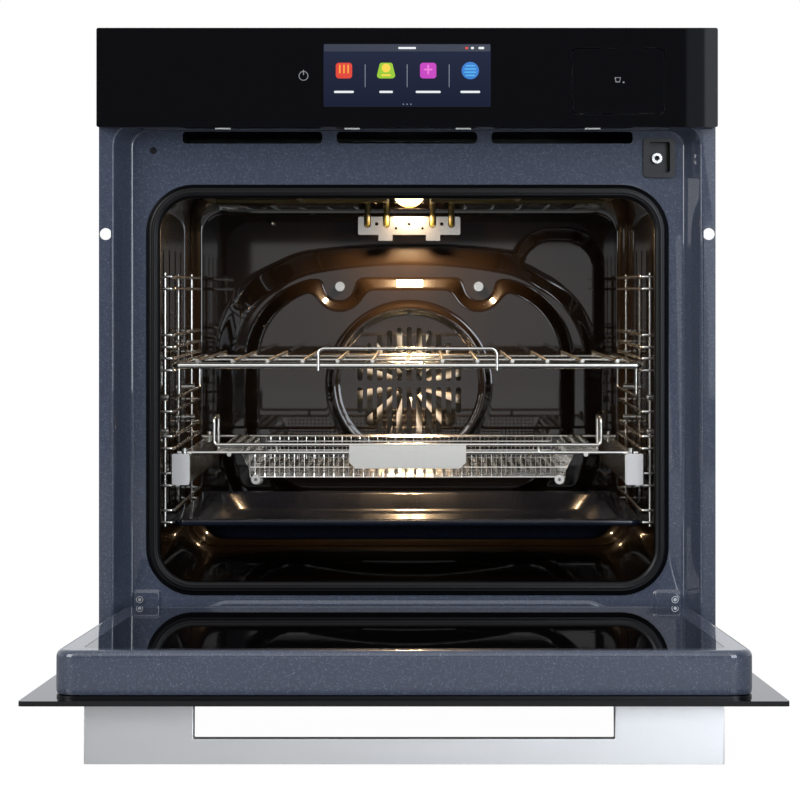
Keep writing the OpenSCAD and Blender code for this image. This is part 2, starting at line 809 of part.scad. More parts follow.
module panel_housing() {
    mid = (front_top + panel_bottom) / 2;
    color(black_plastic) difference() {
        front_plate(face_y + glass_t + 0.1, -sheet - 0.1) translate([0, mid])
            rrect(front_w - 1, panel_h - 1, 2);
        // hollow behind a front plate with a window for the display
        front_plate(face_y + glass_t + 2.1, 1) translate([0, mid]) rrect(front_w - 5, panel_h - 5, 2);
        front_plate(face_y, 1) tank_outline(0.8);
        front_plate(face_y, 1) translate([0, 541.5]) rrect(165.4, 65.4, 2);
    }
    // spring clips under the housing
    color(steel) for (x = [-178, -61, 53, 179])
        box([x - 7.3, -14, panel_bottom - 2.2], [x + 7.3, -4, panel_bottom + 1]);
}

module display_module() {
    color([0.05, 0.07, 0.12]) {
        front_plate(face_y + glass_t + 0.2, -9) translate([0, 541.5]) rrect(165, 65, 1.5);
        front_plate(-9.1, -5) translate([0, 541.5]) rrect(150, 52, 1.5);
    }
}

module control_board() {
    color([0.10, 0.32, 0.18]) {
        box([-82, 40, 505], [82, 140, 506.6]);
        for (x = [-60, -20, 20]) box([x, 60, 506.5], [x + 24, 84, 524]);
        for (x = [-50:25:50]) translate([x, 120, 506.5]) cylinder(h = 14, r = 7, $fn = 24);
        for (x = [-74, 74], y = [46, 134]) translate([x, y, 496.1]) cylinder(h = 9, r = 3, $fn = 24);
    }
}

module tank_housing() {
    a = [tank[0] + 0.7, 1.5, tank[2] + 0.5];
    b = [tank[1] - 0.7, 236, tank[3] - 0.5];
    color(white_plastic) difference() {
        union() {
            box(a, b);
            translate([202, 236, 520]) rotate([-90, 0, 0]) cylinder(h = 10, r = 5, $fn = 32);
        }
        box([a.x + 1.2, 0, a.z + 1.2], [b.x - 1.2, 234.8, b.z - 1.2]);
        translate([202, 230, 520]) rotate([-90, 0, 0]) cylinder(h = 20, r = 3, $fn = 32);
    }
}

// Inside faces of the water tank: left, right, bottom and top
tank_in = [162.3, 242, 508.8, 556];

module water_tank() {
    color([0.75, 0.85, 0.92, 0.6]) difference() {
        box([tank_in[0] - 1.8, -12, tank_in[2] - 1.8], [tank_in[1] + 1.8, 214, tank_in[3]]);
        box([tank_in[0], -10, tank_in[2]], [tank_in[1], 212, tank_in[3] + 1]);
    }
}

module tank_lid() {
    color(white_plastic) difference() {
        box([tank_in[0] - 1.8, -12, tank_in[3] + 0.1], [tank_in[1] + 1.8, 214, tank_in[3] + 2.6]);
        // filler opening
        translate([202, 30, tank_in[3] - 1]) linear_extrude(6) rrect(44, 30, 8);
    }
}

module tank_cover() {
    color(black_glass) {
        front_plate(face_y, face_y + glass_t) tank_outline(0);
        front_plate(face_y + glass_t - 0.2, -12.1) translate([0, 0]) intersection() {
            tank_outline(-2);
            translate([202, 534]) square([80, 46], center = true);
        }
    }
}

module water_pump() {
    color(black_plastic) {
        translate([202, 265, 0]) {
            translate([0, 0, 497.5]) cylinder(h = 34, r = 16, $fn = 48);
            translate([0, 0, 531]) cylinder(h = 8, r = 10, $fn = 32);
        }
        rod([202, 265, 520], [202, 246.1, 520], 4.5);
    }
}

module steam_generator() {
    color(alu) difference() {
        union() {
            box([120, 318, 470], [206, 398, 522]);
            for (y = [326:12:390]) box([118, y, 474], [208, y + 4, 518]);
            for (x = [124, 194], y = [322, 386]) box([x, y, 459.1], [x + 8, y + 8, 471]);
            translate([163, 358, 521]) cylinder(h = 14, r = 8, $fn = 32);
        }
        translate([163, 358, 500]) cylinder(h = 40, r = 5, $fn = 32);
    }
}

module terminal_block() {
    color(white_plastic) difference() {
        box([-242, 508, 535], [-188, carcass_d - 0.5, 565]);
        for (i = [0:2])
            translate([-231 + i * 16, 530, 550]) rotate([-90, 0, 0]) cylinder(h = 20, r = 4, $fn = 24);
    }
    color(zinc) box([-244, 500, 528], [-186, carcass_d - 1.4, 534.9]);
}

module probe_bezel() {
    color(black_plastic) difference() {
        union() {
            front_plate(22.6, recess_y - 0.05) translate([245.5, 465]) rrect(31, 38.6, 4.5);
            front_plate(23, 40) translate([245.5, 465]) rrect(24.6, 32.6, 3);
        }
        front_plate(21, 34) translate([245.7, 465.4]) rrect(20.6, 29.9, 2.5);
        front_plate(30, 42) translate([244, 464.7]) circle(5.2, $fn = 32);
    }
}

module probe_socket() {
    color(steel) front_plate(28.5, 44) translate([244, 464.7]) difference() {
        circle(5, $fn = 32);
        circle(2.4, $fn = 32);
    }
}

// ---------------------------------------------------------------- cooling

blower_y = 305;

module air_duct() {
    color(zinc) difference() {
        box([-232, recess_y + sheet + 0.1, 470], [232, 225, 496]);
        box([-231, 20, 471], [231, 224, 495]);
        box([-58, 220, 473], [58, 226, 493]);
    }
}

module blower_housing() {
    color(zinc) difference() {
        union() {
            translate([0, blower_y, 472]) cylinder(h = 46, r = 66, $fn = 96);
            box([-60, 225.2, 472], [60, blower_y, 494]);
        }
        translate([0, blower_y, 473.2]) cylinder(h = 43.6, r = 64.8, $fn = 96);
        box([-58.8, 224, 473.2], [58.8, blower_y, 492.8]);
        translate([0, blower_y, 465]) cylinder(h = 20, r = 38, $fn = 48);
        translate([0, blower_y, 500]) cylinder(h = 30, r = 12, $fn = 48);
    }
}

module blower_wheel() {
    blades = 24;
    color(zinc) translate([0, blower_y, 0]) {
        translate([0, 0, 505]) cylinder(h = 1.2, r = 54, $fn = 96);
        translate([0, 0, 497]) cylinder(h = 12, r = 8, $fn = 32);
        translate([0, 0, 500]) cylinder(h = 45, r = 3, $fn = 32);
        difference() {
            translate([0, 0, 479]) cylinder(h = 1.2, r = 54, $fn = 96);
            translate([0, 0, 478]) cylinder(h = 4, r = 42, $fn = 96);
        }
        for (i = [0:blades - 1])
            rotate(i * 360 / blades) translate([43, -0.4, 480.25]) rotate(20) cube([10, 0.8, 24.7]);
    }
}

module blower_motor() {
    color(black_plastic) translate([0, blower_y, 0]) difference() {
        union() {
            translate([0, 0, 520]) cylinder(h = 32, r = 26, $fn = 64);
            translate([0, 0, 518.1]) cylinder(h = 3, r = 32, $fn = 64);
        }
        translate([0, 0, 510]) cylinder(h = 37, r = 3 + play, $fn = 32);
    }
}

// ---------------------------------------------------------------- door and hinges

module door_outer_glass() {
    color(black_glass) opened() front_plate(face_y, face_y + glass_t)
        translate([0, (door_top + door_bottom) / 2]) rrect(front_w, door_top - door_bottom, 3);
}

// Outline of the door frame, smaller all round by inset
module liner_outline(inset) {
    translate([0, (liner_top + 12) / 2]) rrect(liner_w - 2 * inset, liner_top - 12 - 2 * inset, 18 - inset);
}

module door_spacer() {
    color(black_plastic) opened() front_plate(face_y + glass_t + 0.1, -14.1) difference() {
        liner_outline(0.5);
        liner_outline(14);
    }
}

module door_frame() {
    color(enamel) opened() difference() {
        union() {
            front_plate(-14, liner_face - liner_edge) liner_outline(0);
            // the edge towards the cavity is rounded off
            hull() {
                front_plate(liner_face - liner_edge - 0.1, liner_face - liner_edge) liner_outline(0);
                front_plate(liner_face - 1, liner_face - 0.9) liner_outline(0.9);
                front_plate(liner_face - 0.1, liner_face) liner_outline(liner_edge);
            }
        }
        front_plate(-15, liner_face - liner_edge - 0.2) liner_outline(sheet);
        front_plate(-15, liner_face - sheet) liner_outline(sheet + liner_edge);
        front_plate(0, liner_face + 1) translate([0, window_mid]) rrect(window[0], window[1], window[2]);
        mirror_pair() box([slot_x[0] - 1, -15, 11], [slot_x[1] + 1, liner_face + 1, 20]);
    }
}

module door_inner_glass() {
    color(black_glass) opened() {
        front_plate(liner_face - 2, liner_face - 0.1) translate([0, window_mid])
            rrect(window[0] - 0.8, window[1] - 0.8, window[2] - 0.4);
        front_plate(liner_face - 5.4, liner_face - sheet - 0.1) translate([0, window_mid])
            rrect(window[0] + 20, window[1] + 22, window[2] - 6);
    }
}

module door_middle_glass() {
    size = [446, 345];
    mid = 282.5;
    color(clear_glass) opened() {
        front_plate(1, 5) translate([0, mid]) rrect(size.x, size.y, 12);
        // spacers at the corners
        for (x = [-1, 1], z = [-1, 1])
            translate([x * 210, 4.9, mid + z * 160]) rotate([-90, 0, 0])
                cylinder(h = liner_face - 5.4 - 4.95, r = 6, $fn = 32);
    }
}

module door_handle() {
    top = liner_top - 10.5;
    color(alu) opened() translate([0, 0, top - handle_t]) linear_extrude(handle_t) difference() {
        translate([-handle_w / 2, face_y - handle_d]) square([handle_w, handle_d - 0.05]);
        translate([-grip[0] / 2, face_y - grip[1]]) square([grip[0], grip[1] + 1]);
    }
}

module hinge_channels() {
    color(zinc) opened() mirror_pair() {
        for (x = [251, 259])
            side_plate(x, x + 2) {
                translate([0, pivot_z]) circle(6.5, $fn = 48);
                polygon([[-6, pivot_z], [6, pivot_z], [8, 24], [8, 130], [-10, 130], [-10, 24]]);
            }
        box([251, -11.5, 26], [261, -9.9, 130]);
        box([251, -13.9, 60], [261, -11, 110]);
        translate([250.2, 0, pivot_z]) rotate([0, 90, 0]) cylinder(h = 11.6, r = pin_r, $fn = 48);
    }
}

module hinge_arms() {
    color(zinc) mirror_pair() side_plate(arm_x[0], arm_x[1]) difference() {
        union() {
            translate([0, pivot_z]) circle(6.5, $fn = 48);
            polygon([[0, 3.5], [46, 3.5], [46, 11], [5, 11], [0, 14]]);
        }
        translate([0, pivot_z]) circle(pin_r + play, $fn = 48);
        translate([20, 7.2]) circle(1.5 + play, $fn = 24);
        translate([33, 3]) square([4, 3]);
    }
}

module hinge_receivers() {
    color(zinc) mirror_pair() {
        difference() {
            box([248.4, 27.4, 2], [275.5, 28.7, 46]);
            box([slot_x[0], 27, 3.2], [slot_x[1], 30, 28]);
            front_plate(27, 30) translate(hinge_screw) circle(1.95, $fn = 24);
        }
        box([248.4, 28, 2], [249.6, 52, 32]);
        box([262.4, 28, 2], [263.6, 52, 32]);
        box([248.4, 28, 2], [263.6, 52, 3.2]);
        box([248.4, 50.8, 2], [263.6, 52, 32]);
        // fixing screw
        front_plate(22.4, 23.9) translate(hinge_screw) circle(3.4, $fn = 32);
        front_plate(23.8, 34) translate(hinge_screw) circle(2, $fn = 24);
    }
}

module hinge_lock() {
    p = [20, 7.2];
    color(steel) {
        for (x = [252.6, 258.3])
            side_plate(x, x + 1.1) {
                translate(p) circle(2.9, $fn = 32);
                polygon([[p.x, p.y - 2.6], [34, 6], [37, 12.5], [28, 12.5], [p.x, p.y + 2.8]]);
            }
        box([252.6, 28.5, 11.3], [259.4, 37, 12.5]);
        translate([252.6, p.x, p.y]) rotate([0, 90, 0]) cylinder(h = 6.8, r = 1.5, $fn = 24);
    }
}

module hinge_lock_left() {
    mirror([1, 0, 0]) hinge_lock();
}

module hinge_lock_right() {
    hinge_lock();
}

base_tray();
side_panel_left();
side_panel_right();
top_cover();
rear_cover();
front_frame();
cavity_wrapper();
cavity_back();
cavity_gasket();
rear_baffle();
baffle_screws();
fan_motor();
ring_element();
grill_element_outer();
grill_element_inner();
element_bracket();
bottom_element();
lamp_holder();
lamp_lens();
temperature_sensor();
side_ladder_left();
side_ladder_right();
insulation_blanket();
blower_housing();
blower_motor();
air_duct();
panel_glass();
panel_housing();
display_module();
control_board();
tank_housing();
water_pump();
steam_generator();
terminal_block();
probe_socket();
probe_bezel();
hinge_receivers();
hinge_arms();
runner_fixed_rails();
door_outer_glass();
door_spacer();
door_frame();
door_middle_glass();
door_inner_glass();
door_handle();
hinge_channels();
convection_fan();
blower_wheel();
wire_rack();
runner_moving_rails();
runner_middle_rails();
basket_cradle();
basket_mesh();
basket_plate();
baking_tray();
water_tank();
tank_lid();
tank_cover();
hinge_lock_left();
hinge_lock_right();
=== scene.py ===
import json
import math

import bmesh
import bpy
from mathutils import Matrix, Vector
from mathutils.geometry import tessellate_polygon


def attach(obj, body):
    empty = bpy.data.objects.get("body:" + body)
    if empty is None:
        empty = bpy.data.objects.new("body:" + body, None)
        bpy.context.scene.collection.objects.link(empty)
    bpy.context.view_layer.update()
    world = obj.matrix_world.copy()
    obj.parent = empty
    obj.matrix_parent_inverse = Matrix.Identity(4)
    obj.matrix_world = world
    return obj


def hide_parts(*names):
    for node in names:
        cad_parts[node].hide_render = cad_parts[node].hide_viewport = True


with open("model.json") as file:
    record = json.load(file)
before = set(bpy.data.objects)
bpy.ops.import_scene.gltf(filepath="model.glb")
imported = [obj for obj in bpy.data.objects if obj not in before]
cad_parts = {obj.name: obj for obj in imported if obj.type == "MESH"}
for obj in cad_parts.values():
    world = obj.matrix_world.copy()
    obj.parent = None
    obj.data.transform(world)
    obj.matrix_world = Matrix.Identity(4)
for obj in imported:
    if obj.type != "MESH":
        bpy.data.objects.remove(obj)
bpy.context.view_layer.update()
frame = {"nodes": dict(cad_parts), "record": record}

MM = 0.001
DOOR_ANGLE = math.radians(87)
PIVOT = Vector((0, 0, 10))
FRONT_W = 595
FLANGE_Y = -1.2
RECESS_Y = 26


# ---------------------------------------------------------------- materials

def tone(red, green, blue):
    """A colour written as 0 to 255 on screen, in the shader's linear values."""
    return tuple(
        c / 12.92 if c <= 0.04045 else ((c + 0.055) / 1.055) ** 2.4
        for c in (red / 255, green / 255, blue / 255)
    ) + (1,)


class Finish:
    """A material under construction: its tree, its shader and short ways to add nodes."""

    def __init__(self, name, colour, roughness, metallic=0.0, coat=0.0, **values):
        self.material = bpy.data.materials.new(name)
        self.material.use_nodes = True
        self.tree = self.material.node_tree
        self.shader = self.tree.nodes["Principled BSDF"]
        self.set("Base Color", colour)
        self.set("Roughness", roughness)
        self.set("Metallic", metallic)
        self.set("Coat Weight", coat)
        for key, value in values.items():
            self.set(key.replace("_", " "), value)
        self.place = self.add("ShaderNodeTexCoord").outputs["Object"]

    def set(self, socket, value):
        self.shader.inputs[socket].default_value = value

    def add(self, kind, **values):
        node = self.tree.nodes.new(kind)
        for key, value in values.items():
            if key in node.inputs:
                node.inputs[key].default_value = value
            else:
                setattr(node, key, value)
        return node

    def link(self, a, b):
        self.tree.links.new(a, b)

    def stretched(self, x, y, z):
        """Object coordinates scaled on each axis, for grain that runs one way."""
        node = self.add("ShaderNodeMapping")
        node.inputs["Scale"].default_value = (x, y, z)
        self.link(self.place, node.inputs["Vector"])
        return node.outputs["Vector"]

    def noise(self, scale, detail=2.0, vector=None):
        node = self.add("ShaderNodeTexNoise", Scale=scale, Detail=detail)
        self.link(vector or self.place, node.inputs["Vector"])
        return node.outputs["Fac"]

    def ramp(self, value, low, high, first, last):
        """Colours or greys from first to last while value goes from low to high."""
        node = self.add("ShaderNodeValToRGB")
        node.color_ramp.elements[0].position = low
        node.color_ramp.elements[1].position = high
        node.color_ramp.elements[0].color = first
        node.color_ramp.elements[1].color = last
        self.link(value, node.inputs["Fac"])
        return node.outputs["Color"]

    def spread(self, value, low, high):
        """Maps 0..1 onto low..high."""
        node = self.add("ShaderNodeMapRange")
        node.inputs["To Min"].default_value = low
        node.inputs["To Max"].default_value = high
        self.link(value, node.inputs["Value"])
        return node.outputs["Result"]

    def height(self, low, high):
        """Rises from 0 to 1 between two heights in metres."""
        axes = self.add("ShaderNodeSeparateXYZ")
        self.link(self.place, axes.inputs[0])
        span = self.add("ShaderNodeMapRange")
        span.inputs["From Min"].default_value = low
        span.inputs["From Max"].default_value = high
        self.link(axes.outputs["Z"], span.inputs["Value"])
        return span.outputs["Result"]

    def bump(self, height, strength, distance):
        node = self.add("ShaderNodeBump", Strength=strength, Distance=distance)
        self.link(height, node.inputs["Height"])
        self.link(node.outputs["Normal"], self.shader.inputs["Normal"])


def flecked_enamel(name, colour, fleck, roughness, gloss=0.03, glaze=1.0):
    """Vitreous enamel with fine bright flecks under a clear glaze."""
    f = Finish(name, colour, roughness, coat=glaze, Coat_Roughness=gloss, Coat_IOR=1.55,
               Specular_IOR_Level=0.1)
    cells = f.add("ShaderNodeTexVoronoi", Scale=1250)
    f.link(f.place, cells.inputs["Vector"])
    dots = f.ramp(cells.outputs["Distance"], 0.12, 0.3, (1, 1, 1, 1), (0, 0, 0, 1))
    patch = f.ramp(f.noise(520), 0.44, 0.6, (0, 0, 0, 1), (1, 1, 1, 1))
    both = f.add("ShaderNodeMix", data_type="RGBA", blend_type="MULTIPLY")
    both.inputs["Factor"].default_value = 1
    f.link(dots, both.inputs[6])
    f.link(patch, both.inputs[7])
    mix = f.add("ShaderNodeMix", data_type="RGBA")
    mix.inputs[6].default_value = colour
    mix.inputs[7].default_value = fleck
    f.link(both.outputs[2], mix.inputs["Factor"])
    f.link(mix.outputs[2], f.shader.inputs["Base Color"])
    f.bump(f.noise(60, 2), 0.02, 0.0006)
    return f.material


def dark_enamel(name, low, high, roughness):
    """Black-brown cavity enamel under a clear glaze, a little uneven in colour."""
    f = Finish(name, low, roughness, coat=1.0, Coat_Roughness=0.035, Coat_IOR=1.55, Specular_IOR_Level=0.05)
    f.link(f.ramp(f.noise(14, 4), 0.35, 0.7, low, high), f.shader.inputs["Base Color"])
    f.link(f.spread(f.noise(60, 3), roughness * 0.8, roughness * 1.3), f.shader.inputs["Roughness"])
    f.bump(f.noise(45, 2), 0.03, 0.0008)
    return f.material


def metal(name, colour, roughness, grain=(40, 40, 40), strength=0.05):
    """Bare or plated metal with a fine grain."""
    f = Finish(name, colour, roughness, metallic=1.0)
    fine = f.noise(30, 5, f.stretched(*grain))
    f.link(f.spread(fine, roughness * 0.75, roughness * 1.3), f.shader.inputs["Roughness"])
    f.bump(fine, strength, 0.0003)
    return f.material


def galvanised(name, dull, bright):
    """Zinc-coated sheet with its crystal spangle."""
    f = Finish(name, bright, 0.4, metallic=1.0)
    cells = f.add("ShaderNodeTexVoronoi", Scale=120)
    warp = f.add("ShaderNodeMix", data_type="VECTOR")
    warp.inputs["Factor"].default_value = 0.02
    drift = f.add("ShaderNodeTexNoise", Scale=30)
    f.link(f.place, drift.inputs["Vector"])
    f.link(f.place, warp.inputs[4])
    f.link(drift.outputs["Color"], warp.inputs[5])
    f.link(warp.outputs[1], cells.inputs["Vector"])
    grey = f.add("ShaderNodeSeparateColor")
    f.link(cells.outputs["Color"], grey.inputs[0])
    f.link(f.ramp(grey.outputs[0], 0.1, 0.9, dull, bright), f.shader.inputs["Base Color"])
    f.link(f.spread(grey.outputs[1], 0.42, 0.5), f.shader.inputs["Roughness"])
    f.bump(f.noise(140), 0.04, 0.0004)
    return f.material


def plastic(name, colour, roughness, speckle=0.06, shine=0.5):
    """Moulded plastic or rubber with a fine spark-eroded surface."""
    f = Finish(name, colour, roughness, Specular_IOR_Level=shine)
    f.link(f.spread(f.noise(200, 4), roughness * 0.85, roughness * 1.15), f.shader.inputs["Roughness"])
    f.bump(f.noise(900, 2), speckle, 0.0002)
    return f.material


def dark_glass(name, colour, roughness=0.03):
    f = Finish(name, colour, roughness, IOR=1.5)
    f.link(f.spread(f.noise(25, 3), roughness * 0.7, roughness * 1.8), f.shader.inputs["Roughness"])
    return f.material


def lamp_glow(name):
    """Lamp glass that is white-hot below the bulb and golden towards its rim."""
    f = Finish(name, tone(255, 236, 200), 0.3, Emission_Strength=5.0)
    glow = f.ramp(f.height(0.429, 0.437), 0.1, 0.8, tone(255, 170, 70), tone(255, 232, 190))
    f.link(glow, f.shader.inputs["Emission Color"])
    return f.material


MATERIALS = {
    "zinc_sheet": galvanised("galvanised sheet", tone(182, 186, 191), tone(198, 201, 205)),
    "grey_enamel": flecked_enamel("blue-grey flecked enamel", tone(60, 66, 81), tone(150, 163, 184), 0.34),
    "cavity_enamel": dark_enamel("brown-black cavity enamel", tone(15, 10, 6), tone(22, 15, 9), 0.3),
    "tray_enamel": flecked_enamel("blue-black tray enamel", tone(14, 18, 28), tone(60, 72, 100),
                                  0.25, 0.06, 0.45),
    "seal_rubber": plastic("black silicone seal", tone(3, 3, 5), 0.34, 0.03, 0.22),
    "stainless_wire": metal("polished stainless steel", tone(226, 226, 222), 0.17, (60, 60, 60), 0.02),
    "fan_steel": metal("satin steel sheet", tone(226, 218, 208), 0.45, (30, 30, 30), 0.04),
    # also put on the air duct as painted shade: the duct sheet is drawn dark for the shade inside the panel
    "dark_steel": plastic("heat-darkened steel, painted duct shade", tone(24, 22, 20), 0.4, 0.1, 0.4),
    "plate_steel": plastic("bead-blasted steel", tone(198, 196, 197), 0.42, 0.04),
    "heater_sheath": plastic("oxidised olive heater sheath", tone(52, 49, 20), 0.42, 0.1, 0.3),
    "ceramic": plastic("white ceramic", tone(226, 220, 206), 0.5),
    "lamp_glass": lamp_glow("lit lamp glass"),
    "mineral_wool": plastic("mineral wool", tone(208, 196, 150), 0.95, 0.6),
    "black_glass": dark_glass("black glass", tone(9, 9, 11), 0.015),
    "clear_glass": Finish("clear glass", tone(235, 242, 242), 0.02, IOR=1.5,
                          Transmission_Weight=1.0).material,
    "black_plastic": plastic("black plastic", tone(5, 5, 7), 0.36, shine=0.3),
    "screen": dark_glass("screen glass", tone(14, 16, 26)),
    "circuit_board": plastic("green circuit board", tone(30, 92, 58), 0.5),
    "white_plastic": plastic("white plastic", tone(226, 226, 222), 0.4),
    "tank_plastic": Finish("clear tank plastic", tone(222, 234, 240), 0.08, IOR=1.48,
                           Transmission_Weight=0.9).material,
    "cast_aluminium": metal("cast aluminium", tone(186, 186, 184), 0.5, (8, 8, 8), 0.3),
    "brushed_aluminium": metal("brushed aluminium", tone(242, 242, 242), 0.38, (0.6, 120, 120), 0.10),
}


# ---------------------------------------------------------------- making pieces

def mesh_piece(name, verts, faces, merge=0.0, smooth=35, outward=False):
    """A mesh object at the origin from points in millimetres."""
    me = bpy.data.meshes.new(name)
    me.from_pydata([Vector(v) * MM for v in verts], [], faces)
    bm = bmesh.new()
    bm.from_mesh(me)
    if merge:
        bmesh.ops.remove_doubles(bm, verts=bm.verts, dist=merge * MM)
    if outward:
        bmesh.ops.recalc_face_normals(bm, faces=bm.faces)
    bm.to_mesh(me)
    bm.free()
    return shaded_object(name, me, smooth)


def shaded_object(name, me, smooth=35):
    me.shade_smooth()
    me.set_sharp_from_angle(angle=math.radians(smooth))
    obj = bpy.data.objects.new(name, me)
    bpy.context.scene.collection.objects.link(obj)
    return obj


def evened(obj):
    """Bakes normals weighted by face area, so that large flats stay flat beside small rounded edges."""
    m = obj.modifiers.new("normals", "WEIGHTED_NORMAL")
    m.mode = "FACE_AREA"
    m.weight = 80
    m.keep_sharp = True
    return applied(obj)


def applied(obj):
    """Turns an object's modifiers into its mesh."""
    dg = bpy.context.evaluated_depsgraph_get()
    me = bpy.data.meshes.new_from_object(obj.evaluated_get(dg), preserve_all_data_layers=True, depsgraph=dg)
    obj.modifiers.clear()
    obj.data = me
    return obj


def thicken(obj, thickness, offset=-1.0):
    m = obj.modifiers.new("wall", "SOLIDIFY")
    m.thickness = thickness * MM
    m.offset = offset
    return applied(obj)


def soften(obj, width, segments):
    """Rounds over the edges that turn by more than 40 degrees."""
    m = obj.modifiers.new("edges", "BEVEL")
    m.width = width * MM
    m.segments = segments
    m.limit_method = "ANGLE"
    m.angle_limit = math.radians(40)
    return applied(obj)


def dress(obj, body, slot, *replaced, material=None):
    """Gives a finished piece its material, found from its record slot unless one is given, and its body."""
    obj.data.materials.clear()
    obj.data.materials.append(material or MATERIALS[slot])
    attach(obj, body)
    if replaced:
        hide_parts(*replaced)
    return obj


def opened(obj):
    """Turns a piece built on the closed door to the open pose."""
    to_pivot = Matrix.Translation(PIVOT * MM)
    from_pivot = Matrix.Translation(-PIVOT * MM)
    obj.data.transform(to_pivot @ Matrix.Rotation(DOOR_ANGLE, 4, "X") @ from_pivot)
    return obj


def joined(name, *objs):
    """One object from several, with their meshes added up."""
    bm = bmesh.new()
    for o in objs:
        bm.from_mesh(o.data)
    me = bpy.data.meshes.new(name)
    bm.to_mesh(me)
    bm.free()
    for o in objs:
        bpy.data.objects.remove(o)
    return shaded_object(name, me)


def rounded(cx, cz, w, h, r, n=8):
    """A rounded rectangle in X and Z as a counter-clockwise loop of 4 * (n + 1) points."""
    points = []
    for sx, sz, start in ((1, -1, -90), (1, 1, 0), (-1, 1, 90), (-1, -1, 180)):
        for i in range(n + 1):
            a = math.radians(start + 90 * i / n)
            points.append((cx + sx * (w / 2 - r) + r * math.cos(a), cz + sz * (h / 2 - r) + r * math.sin(a)))
    return points


def circle(cx, cz, r, n=24):
    return [(cx + r * math.cos(math.tau * i / n), cz + r * math.sin(math.tau * i / n)) for i in range(n)]


def at_depth(loop, y):
    return [(x, y, z) for x, z in loop]


def loft(rings):
    """Quads between rings of equal length.

    Rings that run counter-clockwise and back into the oven face inwards.
    """
    n = len(rings[0])
    verts = [p for ring in rings for p in ring]
    faces = []
    for k in range(len(rings) - 1):
        for i in range(n):
            j = (i + 1) % n
            faces.append((k * n + i, k * n + j, (k + 1) * n + j, (k + 1) * n + i))
    return verts, faces


def plate(loops, y, forward=True):
    """A flat sheet at depth y from an outline and its holes, facing the front."""
    flat = [p for loop in loops for p in loop]
    faces = []
    for tri in tessellate_polygon([[Vector((x, z, 0)) for x, z in loop] for loop in loops]):
        (ax, az), (bx, bz), (cx, cz) = (flat[i] for i in tri)
        up = (bx - ax) * (cz - az) - (bz - az) * (cx - ax) > 0
        faces.append(tuple(tri) if up == forward else tuple(reversed(tri)))
    return [(x, y, z) for x, z in flat], faces


def add_up(parts):
    """Several (verts, faces) pairs as one."""
    verts, faces = [], []
    for v, f in parts:
        start = len(verts)
        verts += v
        faces += [tuple(i + start for i in face) for face in f]
    return verts, faces


def smooth_copy(node, slot, body, material=None):
    """A welded, smooth-shaded copy of a CAD node that stands in for it."""
    source = frame["nodes"][node].data
    me = bpy.data.meshes.new(node + "_finished")
    me.from_pydata([v.co for v in source.vertices], [], [tuple(p.vertices) for p in source.polygons])
    bm = bmesh.new()
    bm.from_mesh(me)
    bmesh.ops.remove_doubles(bm, verts=bm.verts, dist=1e-5)
    bm.to_mesh(me)
    bm.free()
    obj = evened(shaded_object(node + "_finished", me))
    return dress(obj, body, slot, node, material=material)


# ---------------------------------------------------------------- geometry nodes

def node_tree(name, inputs):
    """A geometry tree with named inputs, and its group input and output nodes."""
    tree = bpy.data.node_groups.new(name, "GeometryNodeTree")
    for label, kind in inputs:
        tree.interface.new_socket(label, in_out="INPUT", socket_type=kind)
    tree.interface.new_socket("Geometry", in_out="OUTPUT", socket_type="NodeSocketGeometry")
    return tree, tree.nodes.new("NodeGroupInput"), tree.nodes.new("NodeGroupOutput")


def grow(name, tree, values):
    """The mesh that a geometry tree makes with these input values."""
    host = bpy.data.objects.new(name, bpy.data.meshes.new(name))
    bpy.context.scene.collection.objects.link(host)
    m = host.modifiers.new("build", "NODES")
    m.node_group = tree
    sockets = {s.name: s.identifier for s in tree.interface.items_tree if s.in_out == "INPUT"}
    for label, value in values.items():
        m[sockets[label]] = value
    return applied(host)


